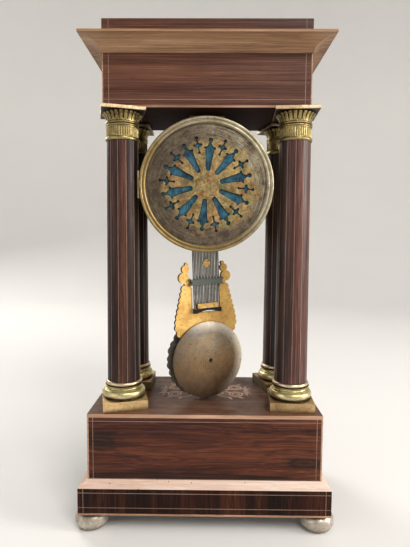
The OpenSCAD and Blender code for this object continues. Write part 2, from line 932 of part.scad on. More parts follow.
// Pivot holes shared by the two plates
module pivot_holes() {
  for (p = [inter_at, third_at, escape_at, strike_wheel_at, hammer_at])
    at(p)
      circle(d = pivot_d + 2 * run_play);
  for (p = [going_at, strike_at])
    at(p)
      circle(d = winding_pivot_d + 2 * run_play);
}

// Front plate with the stud of the minute wheel
module front_plate() {
  color(gilt)
    on_drum([0, 0]) {
      plate_y(front_plate_y, plate_t)
        difference() {
          circle(d = plate_d);
          pivot_holes();
          circle(d = arbor_d + 2 * run_play);
          at(hang_at)
            circle(d = pivot_d + 2 * run_play);
        }
      translate([motion_at[0], 0, motion_at[1]])
        bar_y(stud_d, hour_y - gap, front_plate_y + 0.1);
    }
}

module back_plate() {
  color(gilt)
    on_drum([0, 0])
      plate_y(inner_back_y, plate_t)
        difference() {
          circle(d = plate_d - 4);
          pivot_holes();
          circle(d = pivot_d + 2 * run_play);
          at(hang_at)
            circle(d = 3 * arbor_d);
        }
}

// Turned pillars with a waist
module plate_pillars() {
  color(gilt)
    for (p = pillar_spots)
      on_drum(p)
        union() {
          bar_y(pillar_d * 0.75, inner_front_y, inner_back_y);
          bar_y(pillar_d, inner_front_y, inner_front_y + 5);
          bar_y(pillar_d, inner_back_y - 5, inner_back_y);
          bar_y(pillar_d, inner_front_y + plate_gap / 2 - 2, inner_front_y + plate_gap / 2 + 2);
        }
}

// Hollow barrel with its great wheel
module barrel(p, phase) {
  color(gilt)
    on_drum(p)
      difference() {
        union() {
          bar_y(barrel_d, barrel_y, great_y + great_t / 2);
          plate_y(great_y, great_t)
            polygon(toothed(great_n, wheel_tooth(great_n, great_m), phase));
        }
        bar_y(barrel_d - 2 * barrel_wall, barrel_y + barrel_wall, great_y - barrel_wall);
        bar_y(winding_d + 2 * run_play, barrel_y - 1, great_y + great_t + 1);
      }
}

// Arbor through a barrel, with a square for the key
module winding_arbor(p) {
  square_y = dial_y - 1.2;
  color(steel)
    on_drum(p)
      union() {
        bar_y(winding_d, inner_front_y + gap, inner_back_y - gap);
        bar_y(winding_pivot_d, front_plate_y - 1, outer_back_y);
        plate_y(square_y, front_plate_y - square_y)
          square(winding_square, center = true);
      }
}

// Arbor between the plates with its two pivots
module arbor(d = arbor_d) {
  bar_y(d, inner_front_y + gap, inner_back_y - gap);
  bar_y(pivot_d, front_plate_y + gap, outer_back_y - gap);
}

// Crossed-out wheel with four arms
module wheel(n, m, phase, y) {
  r = m * n / 2;
  hub = 0.16 * r + 1.4;
  rim = r - 1.45 * m - 0.1 * r;
  arm = 0.07 * r + 0.4;
  plate_y(y, wheel_t)
    difference() {
      polygon(toothed(n, wheel_tooth(n, m), phase));
      for (k = [0:3])
        intersection() {
          difference() {
            circle(rim);
            circle(hub);
          }
          rotate(45 + 90 * k)
            at([arm * sqrt(2), 0])
              rotate(-45)
                square(rim);
        }
    }
}

module pinion(n, m, phase, y, len) {
  plate_y(y, len)
    polygon(toothed(n, pinion_tooth(n, m), phase));
}

// Leaves stand half a pitch off the line of centres, to take the tooth that points at them
function leaf_phase(n, from, to) = bearing(to, from) + 180 / n;

module intermediate_wheel() {
  color(gilt)
    on_drum(inter_at) {
      arbor();
      wheel(inter_n, inter_m, bearing(inter_at, centre_at), inter_y);
      pinion(drive_n, great_m, leaf_phase(drive_n, going_at, inter_at), great_y - 1.2, pinion_len);
    }
}

// Centre arbor runs through the front plate to carry the hands
module centre_wheel() {
  color(gilt)
    on_drum(centre_at) {
      bar_y(arbor_d, cannon_y - 1, inner_back_y - gap);
      bar_y(pivot_d, minute_hand_y - 1, outer_back_y - gap);
      wheel(centre_n, centre_m, bearing(centre_at, third_at), centre_y);
      pinion(centre_pinion_n, inter_m, leaf_phase(centre_pinion_n, inter_at, centre_at),
        inter_y - wheel_t, 3 * wheel_t);
    }
}

module third_wheel() {
  color(gilt)
    on_drum(third_at) {
      arbor(fine_arbor_d);
      wheel(third_n, third_m, bearing(third_at, escape_at), third_y);
      pinion(third_pinion_n, centre_m, leaf_phase(third_pinion_n, centre_at, third_at),
        centre_y - 0.5, pinion_len);
    }
}

// Pointed teeth that lean forward
module escape_wheel() {
  root = 0.8 * escape_r;
  color(gilt)
    on_drum(escape_at) {
      arbor(fine_arbor_d);
      plate_y(escape_y, wheel_t)
        difference() {
          polygon([for (k = [0:escape_n - 1])
            for (p = [[root, -0.2], [escape_r, -0.1], [escape_r, 0], [root, 0.4]])
              polar(p[0], (k + p[1]) * 360 / escape_n)]);
          for (a = [45:90:315])
            rotate(a)
              at([0.49 * escape_r, 0])
                circle(0.21 * escape_r);
        }
      pinion(escape_pinion_n, third_m, leaf_phase(escape_pinion_n, third_at, escape_at),
        third_y - wheel_t, 3 * wheel_t);
    }
}

// Anchor between the plates, crutch and fork behind them
module anchor_crutch() {
  reach = escape_r + 1;
  nib = 45;
  crutch_y = outer_back_y + 1;
  fork_drop = 29;
  fork_x = top_rod_d / 2 + gap;
  fork_len = pend_y + 3 - crutch_y;
  color(steel)
    on_drum(hang_at)
      rotate([0, pend_lean, 0]) {
        bar_y(arbor_d, inner_front_y + gap, crutch_y + 2);
        bar_y(pivot_d, front_plate_y + gap, crutch_y + 4.5);
        plate_y(escape_y - 0.4, wheel_t + 0.8)
          union() {
            circle(2.6);
            difference() {
              at([0, -escape_drop])
                intersection() {
                  difference() {
                    circle(reach + 3);
                    circle(reach);
                  }
                  polygon([[0, 0], polar(60, 90 + nib), polar(60, 90), polar(60, 90 - nib)]);
                }
              at([0, 3])
                circle(1);
            }
          }
        plate_y(crutch_y, 1.6)
          union() {
            circle(2.8);
            translate([-1.5, -fork_drop])
              square([3, fork_drop]);
            translate([-fork_x - 1.6, -fork_drop])
              square([2 * fork_x + 3.2, 3]);
          }
        for (s = [-1, 1])
          translate([s * (fork_x + 0.8) - 0.8, crutch_y, -fork_drop])
            cube([1.6, fork_len, 3]);
      }
}

// Bridge for the anchor pivot, with the arm that holds the suspension
module back_cock() {
  bridge_y = outer_back_y + 3.5;
  bridge_t = 2;
  half = 15;
  leg = 5;
  arm_z = gap;
  color(gilt)
    on_drum(hang_at)
      difference() {
        union() {
          plate_y(outer_back_y, bridge_y + bridge_t - outer_back_y)
            translate([-half, -4])
              square([2 * half, 9]);
          translate([-4, bridge_y, arm_z])
            cube([8, pend_y + spring_w / 2 + 1 - bridge_y, 6]);
        }
        translate([leg - half, outer_back_y - 1, -5])
          cube([2 * (half - leg), bridge_y - outer_back_y + 1, 11]);
        bar_y(pivot_d + 2 * run_play, bridge_y - 1, bridge_y + bridge_t + 20);
      }
}

// Friction tube that carries the minute hand
module cannon_pinion() {
  color(brass)
    on_drum(centre_at)
      difference() {
        union() {
          bar_y(cannon_d, minute_hand_y, front_plate_y - gap);
          pinion(cannon_n, cannon_m, leaf_phase(cannon_n, motion_at, centre_at), cannon_y - 0.2, 1.8);
        }
        bar_y(pivot_d + 2 * run_play, minute_hand_y - 1, cannon_y);
        bar_y(arbor_d + 2 * run_play, cannon_y - 1 - gap, front_plate_y);
      }
}

module minute_wheel() {
  color(brass)
    on_drum(motion_at)
      difference() {
        union() {
          wheel(minute_n, cannon_m, bearing(motion_at, centre_at), cannon_y);
          pinion(minute_pinion_n, hour_m, leaf_phase(minute_pinion_n, centre_at, motion_at),
            hour_y - 0.2, cannon_y - hour_y + 0.4);
        }
        bar_y(stud_d + 2 * run_play, hour_y - 2, front_plate_y);
      }
}

// Wheel and pipe that carry the hour hand
module hour_wheel() {
  color(brass)
    on_drum(centre_at)
      difference() {
        union() {
          wheel(hour_n, hour_m, bearing(centre_at, motion_at), hour_y);
          bar_y(pipe_d, hour_hand_y, hour_y + 0.5);
        }
        bar_y(cannon_d + 4 * run_play, hour_hand_y - 1, hour_y + 2);
      }
}

// Slim hand with an open ring before its tip, turned clockwise from upright
module hand(y, len, hub, ring, bore, turn) {
  eye = 0.7 * len;
  edge = 0.35 * ring;
  tail = 0.4 * hub;
  color(blued)
    on_drum(centre_at)
      rotate([0, turn, 0])
        difference() {
          union() {
            bar_y(2 * hub, y, y + hand_t);
            translate([0, 0, eye])
              bar_y(2 * ring, y, y + hand_t);
            plate_y(y, hand_t)
              polygon([[-tail, -2.2 * hub], [-0.5 * hub, 0], [-0.2 * ring, eye - ring + edge / 2],
                [0.2 * ring, eye - ring + edge / 2], [0.5 * hub, 0], [tail, -2.2 * hub]]);
            plate_y(y, hand_t)
              polygon([[-tail, eye + ring - edge / 2], [0, len], [tail, eye + ring - edge / 2]]);
          }
          bar_y(2 * bore, y - 1, y + hand_t + 1);
          translate([0, 0, eye])
            bar_y(2 * (ring - edge), y - 1, y + hand_t + 1);
        }
}

module minute_hand() {
  bore = cannon_d / 2 + run_play;
  hand(minute_hand_y, minute_len, bore + 1, 0.062 * minute_len, bore, 6 * shown_minute);
}

module hour_hand() {
  bore = pipe_d / 2 + run_play;
  hand(hour_hand_y, hour_len, bore + 1.2, 0.1 * hour_len, bore, 30 * (shown_hour + shown_minute / 60));
}

// Wheel with hammer pins on its face
module strike_wheel() {
  pin_r = strike_m * strike_n / 2 - 1.9;
  color(gilt)
    on_drum(strike_wheel_at) {
      arbor();
      plate_y(strike_y, wheel_t)
        polygon(toothed(strike_n, wheel_tooth(strike_n, strike_m), 0));
      for (k = [0:strike_pins - 1])
        translate([pin_r * cos(k * 360 / strike_pins), 0, pin_r * sin(k * 360 / strike_pins)])
          bar_y(1, strike_y, strike_y + wheel_t + 2.5);
      pinion(drive_n, great_m, leaf_phase(drive_n, strike_at, strike_wheel_at), great_y - 1.2, pinion_len);
    }
}

// Arbor with a short tail, an arm behind the plates and a round head at the bell
module hammer() {
  arm_y = outer_back_y + 2;
  swing = -68;
  head = polar(hammer_arm, swing);
  head_y = bell_y - 0.5;
  tail = bearing(hammer_at, strike_wheel_at);
  color(steel)
    on_drum(hammer_at)
      union() {
        arbor();
        bar_y(pivot_d, inner_back_y, arm_y + 2);
        plate_y(strike_y + wheel_t + 0.6, 1.6)
          union() {
            circle(2);
            rotate(tail)
              translate([0, -0.8])
                square([3.8, 1.6]);
          }
        plate_y(arm_y, 2)
          union() {
            circle(2.4);
            rotate(swing)
              translate([0, -1])
                square([hammer_arm, 2]);
            at(head)
              circle(1.4);
          }
        translate([head[0], 0, head[1]]) {
          bar_y(1.8, arm_y, head_y + 1);
          bar_y(2 * hammer_r, head_y, head_y + bell_depth - 2);
        }
      }
}

// Post beside the pendulum, bent in behind it to the bell's middle
module bell_stand() {
  bell_at = [0, -bell_drop];
  bend_t = 2;
  color(steel)
    on_drum([0, 0])
      union() {
        translate([stand_at[0], 0, stand_at[1]])
          bar_y(stand_d, outer_back_y, bell_y + bend_t);
        plate_y(bell_y, bend_t)
          union() {
            at(stand_at)
              rotate(bearing(stand_at, bell_at))
                translate([0, -2])
                  square([norm(bell_at - stand_at), 4]);
            at(bell_at)
              circle(3);
          }
        translate([0, 0, -bell_drop]) {
          bar_y(5.5, bell_y, bell_y + bell_depth - bell_wall);
          bar_y(3.6, bell_y, bell_y + bell_depth + 0.6);
        }
      }
}

// Shallow cup, open to the front
module bell() {
  color(brass)
    on_drum([0, -bell_drop])
      translate([0, bell_y, 0])
        turn_y()
          difference() {
            polygon(concat([for (t = [0:7.5:82.5]) [bell_r * cos(t), bell_depth * sin(t)]],
              [[1.8 + run_play, bell_depth], [1.8 + run_play, bell_depth - bell_wall]],
              [for (t = [82.5:-7.5:0]) [(bell_r - bell_wall) * cos(t), (bell_depth - bell_wall) * sin(t)]]));
          }
}

// Frame of the pendulum, turned and leaning from its suspension
module on_pendulum() {
  translate([hang_x, pend_y, hang_z])
    rotate([0, pend_lean, 0])
      rotate(pend_turn)
        children();
}

// Leaf spring and its lower block, which stay square to the swing
module suspension_spring() {
  block = 4;
  color(steel)
    translate([hang_x, pend_y, hang_z])
      rotate([0, pend_lean, 0]) {
        translate([-spring_t / 2, -spring_w / 2, -spring_drop - 1])
          cube([spring_t, spring_w, spring_drop + 1]);
        translate([-block / 2, -spring_w / 2, -spring_drop - spring_block_h])
          cube([block, spring_w, spring_block_h]);
      }
}

function rod_x(i) = (i - (grid_count - 1) / 2) * grid_pitch;

// Every second rod; the two outer rods pass the bottom block and stand on the saddle under it
module grid_rods(first) {
  for (i = [first:2:grid_count - 1]) {
    outer = i == 0 || i == grid_count - 1;
    bottom = grid_foot + (outer ? saddle_h : low_bar_h);
    translate([rod_x(i), 0, bottom])
      cylinder(d = grid_rod_d, h = -grid_drop - top_bar_h - bottom);
  }
}

// Steel rods, the crossbar that they pass through, and the single top rod
module gridiron_steel() {
  spur = 3.6;
  half = grid_half + 1;
  block_foot = spring_drop + spring_block_h;
  color(steel)
    on_pendulum() {
      grid_rods(0);
      translate([0, 0, -bob_drop + cross_rise])
        difference() {
          plate_y(shell_y, grid_rod_d / 2 - shell_y + 1.6)
            polygon([[-half, -cross_h / 2], [half, -cross_h / 2], [half + spur, -cross_h / 2 - 0.5],
              [half + 1, 0], [half + spur, cross_h / 2 + 0.5], [half, cross_h / 2],
              [-half, cross_h / 2], [-half - spur, cross_h / 2 + 0.5],
              [-half - 1, 0], [-half - spur, -cross_h / 2 - 0.5]]);
          for (i = [0:grid_count - 1])
            translate([rod_x(i), 0, -cross_h])
              cylinder(d = grid_rod_d + 2 * run_play, h = 2 * cross_h);
        }
      translate([0, 0, -grid_drop])
        cylinder(d = top_rod_d, h = grid_drop - block_foot);
    }
}

// Brass rods, the top bar, the bottom block on its hollowed saddle and a small clasp on the middle rods
module gridiron_brass() {
  half = grid_half + 0.5;
  block_half = grid_half - grid_rod_d - 2 * gap;
  depth = grid_rod_d + 2.2;
  clasp = grid_pitch + 0.2;
  color(brass)
    on_pendulum() {
      grid_rods(1);
      translate([-half, -depth / 2, -grid_drop - top_bar_h])
        cube([2 * half, depth, top_bar_h]);
      translate([0, 0, grid_foot])
        plate_y(shell_y, depth)
          union() {
            difference() {
              translate([-half, 0])
                square([2 * half, saddle_h]);
              at([0, -2 * grid_half])
                circle(2 * grid_half + saddle_h / 2);
            }
            translate([-block_half, saddle_h - 1])
              square([2 * block_half, low_bar_h - saddle_h + 1]);
          }
      translate([0, 0, -bob_drop + clasp_rise])
        difference() {
          plate_y(grid_rod_d / 4, grid_rod_d / 4 + 1)
            union() {
              for (a = [0:90:270])
                rotate(a)
                  at([clasp * 0.7, 0])
                    circle(clasp * 0.55);
              square(clasp, center = true);
            }
          translate([0, 0, -2 * clasp])
            cylinder(d = grid_rod_d + 2 * run_play, h = 4 * clasp);
        }
    }
}

// Gilt lyre of two leafy arms that clasps the gridiron and laps the bob's edge
module pendulum_plate() {
  half_width = [[24, 29], [30, 34], [37, 36.2], [46, 34.8], [60, 31.2], [76, 27.2]];
  scallop_r = 4;
  finials = [[24.3, 86.8, 5.6], [22.1, 95.5, 4.1], [20.7, 100.6, 1.9]];
  stem = [notch_half + 1, 23.6 * pu];
  color(gilt)
    on_pendulum()
      translate([0, 0, -bob_drop])
        plate_y(shell_y - ormolu_t, ormolu_t)
          difference() {
            for (s = [-1, 1])
              mirror([s < 0 ? 1 : 0, 0]) {
                polygon(concat([[0, 24 * pu]], [for (p = half_width) pu * [p[1] - 1, p[0]]],
                  [[notch_half, arm_rise], [notch_half, notch_rise], [0, notch_rise]]));
                for (z = [30.5:5.6:75.5])
                  at(pu * [lookup(z, half_width) - scallop_r, z])
                    circle(pu * scallop_r);
                translate([stem[0], arm_rise - 1])
                  square([stem[1] - stem[0], pu * finials[0][1] - arm_rise]);
                for (p = finials)
                  at(pu * [p[0], p[1]])
                    circle(pu * p[2]);
              }
            circle(d = bob_front_d + 2 * gap);
          }
}

// Shell with a domed back, a dimple in its middle and a raised round front
module pendulum_bob() {
  r = bob_d / 2;
  front = shell_y - bob_front_t;
  color(tarnish)
    on_pendulum()
      translate([0, 0, -bob_drop])
        turn_y()
          difference() {
            union() {
              translate([0, front])
                square([bob_front_d / 2, bob_front_t + 0.1]);
              polygon(concat([[0, shell_y], [r, shell_y], [r, shell_y + bob_edge]],
                [for (i = [8:-1:0]) [r * i / 8, shell_y + bob_edge + bob_dome * (1 - pow(i / 8, 2))]]));
            }
            translate([0, shell_y + bob_edge + bob_dome + 1])
              circle(2.4 * pu);
          }
}

// Ring of paired leaves on the bob's front
module bob_wreath() {
  r = wreath_d / 2;
  pair = [[0.95, -0.5], [0.985, -0.38], [1, -0.2], [0.98, -0.06],
    [0.962, 0], [0.985, 0.14], [0.99, 0.26], [0.965, 0.4]];
  color(gilt)
    on_pendulum()
      translate([0, 0, -bob_drop])
        plate_y(shell_y - bob_front_t - wreath_t, wreath_t)
          difference() {
            polygon(toothed(wreath_pairs, [for (p = pair) [r * p[0], p[1]]], 0));
            circle(d = wreath_d - 2 * wreath_w);
          }
}

for (c = [0:3]) {
  foot(c);
  column_base(c);
  column_shaft(c);
  column_capital(c);
}
lower_plinth();
plinth_moulding();
upper_plinth();
plinth_top();
column_rods();
soffit();
frieze();
cornice();
top_cap();
drum_case();
rear_door();
rear_fret();
fret_cloth();
bezel();
bezel_glass();
dial();
front_plate();
back_plate();
plate_pillars();
barrel(going_at, bearing(going_at, inter_at));  // going_barrel
winding_arbor(going_at);  // going_arbor
barrel(strike_at, bearing(strike_at, strike_wheel_at));  // strike_barrel
winding_arbor(strike_at);  // strike_arbor
intermediate_wheel();
centre_wheel();
third_wheel();
escape_wheel();
anchor_crutch();
back_cock();
cannon_pinion();
minute_wheel();
hour_wheel();
minute_hand();
hour_hand();
strike_wheel();
hammer();
bell_stand();
bell();
suspension_spring();
gridiron_steel();
gridiron_brass();
pendulum_plate();
pendulum_bob();
bob_wreath();
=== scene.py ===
import json
from math import copysign, cos, exp, hypot, pi, radians, sin, sqrt, tau

import bmesh
import bpy
from mathutils import Matrix, Vector


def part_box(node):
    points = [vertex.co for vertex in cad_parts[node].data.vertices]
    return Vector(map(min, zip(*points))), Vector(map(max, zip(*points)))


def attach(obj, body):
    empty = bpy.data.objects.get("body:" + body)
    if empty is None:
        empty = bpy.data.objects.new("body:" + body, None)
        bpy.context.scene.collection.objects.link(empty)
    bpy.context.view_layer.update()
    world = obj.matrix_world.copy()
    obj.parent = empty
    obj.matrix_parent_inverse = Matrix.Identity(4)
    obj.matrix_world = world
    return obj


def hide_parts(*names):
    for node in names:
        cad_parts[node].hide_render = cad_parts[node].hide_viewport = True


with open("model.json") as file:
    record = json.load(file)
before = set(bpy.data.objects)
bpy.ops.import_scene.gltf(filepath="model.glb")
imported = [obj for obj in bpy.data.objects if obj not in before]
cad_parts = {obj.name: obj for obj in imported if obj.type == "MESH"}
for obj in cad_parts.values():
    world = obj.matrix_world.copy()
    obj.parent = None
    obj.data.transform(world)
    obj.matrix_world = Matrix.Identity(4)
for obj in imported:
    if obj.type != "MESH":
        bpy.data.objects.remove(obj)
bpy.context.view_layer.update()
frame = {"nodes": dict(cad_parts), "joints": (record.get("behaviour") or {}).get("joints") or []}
NODES = frame["nodes"]
MM = 0.001
CORNERS = ("rear_right", "rear_left", "front_right", "front_left")
COLUMN_TURN = {"rear_right": 15, "rear_left": -4, "front_right": 0, "front_left": 15}
STRIPS, STRIP_START = 12, radians(-7)
UP = (0, 0, 1)


def box_mm(node):
    lo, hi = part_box(node)
    return [v / MM for v in lo], [v / MM for v in hi]


def middle(node):
    lo, hi = box_mm(node)
    return [(a + b) / 2 for a, b in zip(lo, hi)]


def circle(count):
    """Cosine and sine of equal steps round a full turn."""
    turns = [tau * k / count for k in range(count)]
    return [(cos(a), sin(a)) for a in turns]


def smooth(x, a, b):
    """Soft step from 0 at a to 1 at b."""
    t = min(1, max(0, (x - a) / (b - a)))
    return t * t * (3 - 2 * t)


def new_object(name, data):
    obj = bpy.data.objects.new(name, data)
    bpy.context.collection.objects.link(obj)
    return obj


# Places of the drum and of the leaning, twisted pendulum

DRUM_X, DRUM_Z = 0, middle("dial")[2]
DRUM = Matrix.Translation((DRUM_X, 0, DRUM_Z))
LEAN, TWIST = radians(2.2), radians(27)
BOB_RADIUS, BOB_CLEAR = 40.5, 3
HANG = [j for j in frame["joints"] if j["name"] == "pendulum_swing"][0]["pos_m"]
HANG = [v / MM for v in HANG]
PENDULUM = Matrix.Translation(HANG) @ Matrix.Rotation(LEAN, 4, "Y") @ Matrix.Rotation(TWIST, 4, "Z")
BOB_Z = box_mm("plinth_top")[1][2] + BOB_CLEAR + BOB_RADIUS - HANG[2]
BOB = PENDULUM @ Matrix.Translation((0, 0, BOB_Z))
PLATE_BACK = tuple(PENDULUM.to_3x3() @ Vector((0, 1, 0)))
PLATE_FRONT = tuple(-c for c in PLATE_BACK)


# Node graphs for the materials

MATERIALS = {}


def srgb(text):
    """Linear colour from a hex code."""
    parts = [int(text[i:i + 2], 16) / 255 for i in (1, 3, 5)]
    return tuple(c / 12.92 if c <= 0.04045 else ((c + 0.055) / 1.055) ** 2.4 for c in parts)


def operator(kind):
    """Method of a wire that adds a maths node."""
    return lambda self, other=0: self.graph.math(kind, self, other)


class Wire:
    """Output of a node. Arithmetic on it adds the nodes that work it out."""

    __add__ = operator("ADD")
    __sub__ = operator("SUBTRACT")
    __mul__ = operator("MULTIPLY")
    __truediv__ = operator("DIVIDE")
    __gt__ = operator("GREATER_THAN")
    __lt__ = operator("LESS_THAN")
    __abs__ = operator("ABSOLUTE")
    sine = operator("SINE")

    def __init__(self, graph, socket):
        self.graph = graph
        self.socket = socket

    def span(self, low, high, to_low=0, to_high=1):
        """The range from low to high stretched over another one, and held at its ends."""
        inputs = dict(enumerate((self, low, high, to_low, to_high)))
        return self.graph.wire("ShaderNodeMapRange", inputs)


class Graph:
    """Builds one material from nodes and files it by name. Colours are hex codes, triples or wires."""

    def __init__(self, name, **constants):
        self.material = MATERIALS[name] = bpy.data.materials.new(name)
        self.material.use_nodes = True
        self.tree = self.material.node_tree
        self.tree.nodes.clear()
        out = self.add("ShaderNodeOutputMaterial")
        self.bsdf = self.add("ShaderNodeBsdfPrincipled")
        self.tree.links.new(self.bsdf.outputs["BSDF"], out.inputs["Surface"])
        for key, value in constants.items():
            self.set(key.replace("_", " "), value)

    def add(self, kind, **props):
        node = self.tree.nodes.new(kind)
        for key, value in props.items():
            setattr(node, key, value)
        return node

    def put(self, socket, value):
        if isinstance(value, Wire):
            self.tree.links.new(value.socket, socket)
        elif socket.type == "RGBA":
            colour = srgb(value) if isinstance(value, str) else value
            socket.default_value = (*colour, 1)
        else:
            socket.default_value = value

    def set(self, name, value):
        self.put(self.bsdf.inputs[name], value)

    def wire(self, kind, inputs, output=0, **props):
        """Output of a new node, with its inputs given by name or by place."""
        node = self.add(kind, **props)
        for key, value in inputs.items():
            self.put(node.inputs[key], value)
        return Wire(self, node.outputs[output])

    def coords(self, output="Object"):
        return self.wire("ShaderNodeTexCoord", {}, output)

    def normal(self):
        return self.split(self.coords("Normal"))

    def mapped(self, vector, loc=(0, 0, 0), rot=(0, 0, 0), scale=(1, 1, 1), kind="POINT"):
        inputs = {"Vector": vector, "Location": loc, "Rotation": rot, "Scale": scale}
        return self.wire("ShaderNodeMapping", inputs, vector_type=kind)

    def local(self, place):
        """Coordinates in the frame of a place given in millimetres."""
        loc, rot = tuple(place.to_translation() * MM), tuple(place.to_euler())
        return self.mapped(self.coords(), loc, rot, kind="TEXTURE")

    def noise(self, scale, detail=4, rough=0.55, distort=0, at=None, loc=(0, 0, 0), rot=(0, 0, 0),
              output=0):
        """Noise over the object or over given coordinates; scale is one number, or one for each axis."""
        even = not isinstance(scale, tuple)
        vector = self.mapped(at or self.coords(), loc, rot, (1, 1, 1) if even else scale)
        inputs = {"Vector": vector, "Scale": scale if even else 1, "Detail": detail, "Roughness": rough,
                  "Distortion": distort}
        return self.wire("ShaderNodeTexNoise", inputs, output)

    def cells(self, scale, feature="F1"):
        inputs = {"Vector": self.coords(), "Scale": scale}
        return self.wire("ShaderNodeTexVoronoi", inputs, "Distance", feature=feature)

    def math(self, op, a, b=0):
        return self.wire("ShaderNodeMath", {0: a, 1: b}, operation=op)

    def vector(self, op, a, b=(0, 0, 0)):
        second = "Scale" if op == "SCALE" else 1
        output = "Value" if op in ("LENGTH", "DOT_PRODUCT") else "Vector"
        return self.wire("ShaderNodeVectorMath", {0: a, second: b}, output, operation=op)

    def split(self, vector):
        node = self.add("ShaderNodeSeparateXYZ")
        self.put(node.inputs[0], vector)
        return [Wire(self, socket) for socket in node.outputs]

    def join(self, x, y, z):
        return self.wire("ShaderNodeCombineXYZ", {0: x, 1: y, 2: z})

    def pick(self, first, second, choice):
        """One of two numbers."""
        return self.wire("ShaderNodeMix", {0: choice, 2: first, 3: second}, data_type="FLOAT")

    def mix(self, a, b, fac, blend="MIX"):
        inputs = {0: fac, 6: a, 7: b}
        return self.wire("ShaderNodeMix", inputs, 2, data_type="RGBA", blend_type=blend)

    def ramp(self, fac, stops):
        """Colours by a number, from the hex code at each place."""
        node = self.add("ShaderNodeValToRGB")
        self.put(node.inputs[0], fac)
        items = node.color_ramp.elements
        while len(items) < len(stops):
            items.new(0.5)
        for item, (place, colour) in zip(items, stops.items()):
            item.position = place
            item.color = (*srgb(colour), 1)
        return Wire(self, node.outputs[0])

    def hollows(self, reach):
        """1 in the open, falling in corners and grooves."""
        return self.wire("ShaderNodeAmbientOcclusion", {"Distance": reach}, "AO", samples=6)

    def surface(self, colour, height, strength, rough=None, depth=0.0003):
        """Finishes the material with its colour, its fine relief and its roughness."""
        self.set("Base Color", colour)
        if rough:
            self.set("Roughness", rough)
        inputs = {"Strength": strength, "Distance": depth, "Height": height}
        self.set("Normal", self.wire("ShaderNodeBump", inputs))


# Veneers

def grain_coords(g, upright):
    """Coordinates with the grain along the first axis, on the front and on the end faces of a box."""
    x, y, z = g.split(g.coords())
    end = abs(g.normal()[0]) > 0.6
    across, depth = g.pick(x, y, end), g.pick(y, x, end)
    return g.join(z, across, depth) if upright else g.join(across, z, depth)


def veneer(name, stops, upright=False, figure=1, seed=0, rough=(0.34, 0.56), streak=0.35, bands=0,
           veins=0, holes=0, polish=0.22, knots=(), slope=0):
    """Polished veneer: slow figure, fine grain lines, dark bands, pores and a worn polish."""
    g = Graph(name, Specular_IOR_Level=polish)
    darkest, dust, hole = stops[min(stops)], (1, 0.86, 0.72), "#2a1a12"
    v = g.mapped(grain_coords(g, upright), (seed, seed * 0.37, seed * 0.71))
    warp = g.noise((8, 26, 26), 2, at=v, output=1)
    warp = g.vector("SCALE", g.vector("SUBTRACT", warp, (0.5, 0.5, 0.5)), 0.024 * figure)
    w = g.vector("ADD", v, g.vector("MULTIPLY", warp, (0, 1, 1)))
    slow = g.noise((3, 44, 44), 4, 0.6, at=w)
    fine = g.noise((6, 420, 420), 5, 0.7, at=w).span(0.28, 0.72)
    hair = g.noise((14, 1300, 1300), 3, 0.6, at=w).span(0.3, 0.7)
    lines = fine * 0.55 + hair * 0.45
    tone = slow * (1 - streak) + lines * streak
    if slope:
        tone = tone + g.split(g.coords())[0] * slope
    colour = g.ramp(tone, stops)
    if bands:
        band = g.noise((3.2, 42, 42), 4, 0.62, at=w, loc=(seed, 0.4, 0.9)) + lines * 0.16
        colour = g.mix(colour, darkest, band.span(0.58, 0.74, 0, bands))
    if veins:
        rings = g.noise((2.6, 34, 34), 2, 0.4, at=w, loc=(0.7, seed, 0.2)) * 11 + lines * 0.35
        colour = g.mix(colour, darkest, g.math("FRACT", rings).span(0, 0.32, veins, 0))
    for knot in knots:
        knot_x, knot_z, wide, tall = (size * MM for size in knot)
        x, y, z = g.split(g.coords())
        along = (z - knot_z) / tall + (slow - 0.5) * 1.2
        away = g.vector("LENGTH", g.join((x - knot_x) / wide, 0, along)) + (lines - 0.5) * 0.5
        rings = (away * 14).sine().span(-1, 1, 0.55, 0.95) * away.span(0.5, 1.2, 1, 0)
        colour = g.mix(colour, darkest, rings)
    pores = g.noise((90, 2600, 2600), 2, 0.5, at=v).span(0.56, 0.72, 0, 0.45)
    colour = g.mix(colour, darkest, pores)
    colour = g.mix(colour, dust, g.noise((18, 18, 18), 3, at=v).span(0.5, 0.8, 0, 0.1), "SOFT_LIGHT")
    if holes:
        colour = g.mix(hole, colour, g.cells(holes).span(0.06, 0.085))
    wear = g.noise((30, 60, 60), at=v).span(0.3, 0.75, *rough)
    g.surface(colour, lines - pores * 0.6, 0.1, wear)


ROSEWOOD = {0.3: "#190a06", 0.42: "#32160d", 0.51: "#492213", 0.6: "#5a2f1b", 0.76: "#72442a"}
FRIEZE = {0.3: "#2a140e", 0.42: "#42251b", 0.51: "#4d2e23", 0.6: "#5a392a", 0.76: "#6e4936"}
DARK = {0.3: "#0a0504", 0.43: "#1d0e09", 0.55: "#351b12", 0.74: "#58341f"}
TOP = {0.28: "#27140e", 0.46: "#4c2f21", 0.58: "#664535", 0.76: "#8a6a58"}
# Underside veneer: dark wood made darker still as painted shade.
UNDERSIDE_WITH_PAINTED_SHADE = {0.3: "#0f0807", 0.5: "#22120f", 0.7: "#3f241d"}
# Painted light: a lighter copy of the shaft veneer for the shafts taken as lit, and a darker copy for those
# taken as shaded.
SHAFT_LIT_COPY = {0.28: "#1a0b08", 0.44: "#3a2019", 0.55: "#54322a", 0.74: "#7a5242"}
SHAFT_SHADED_COPY = {0.28: "#0f0605", 0.44: "#25130f", 0.55: "#371f19", 0.74: "#593a2d"}
TAN = {0.28: "#5a3d29", 0.43: "#7f5f46", 0.56: "#9a795c", 0.76: "#bd9d80"}
PALE = {0.25: "#ad8c7a", 0.42: "#c8aa98", 0.56: "#dac2b2", 0.8: "#ecdcd0"}
EDGE = {0.28: "#77543f", 0.45: "#9c7961", 0.58: "#b5927a", 0.78: "#cfb19b"}
LIPPING = {0.28: "#5f432f", 0.45: "#7f604a", 0.6: "#957460", 0.8: "#b0907a"}
LINE = {0.3: "#664f43", 0.5: "#856b5c", 0.7: "#9f8777"}
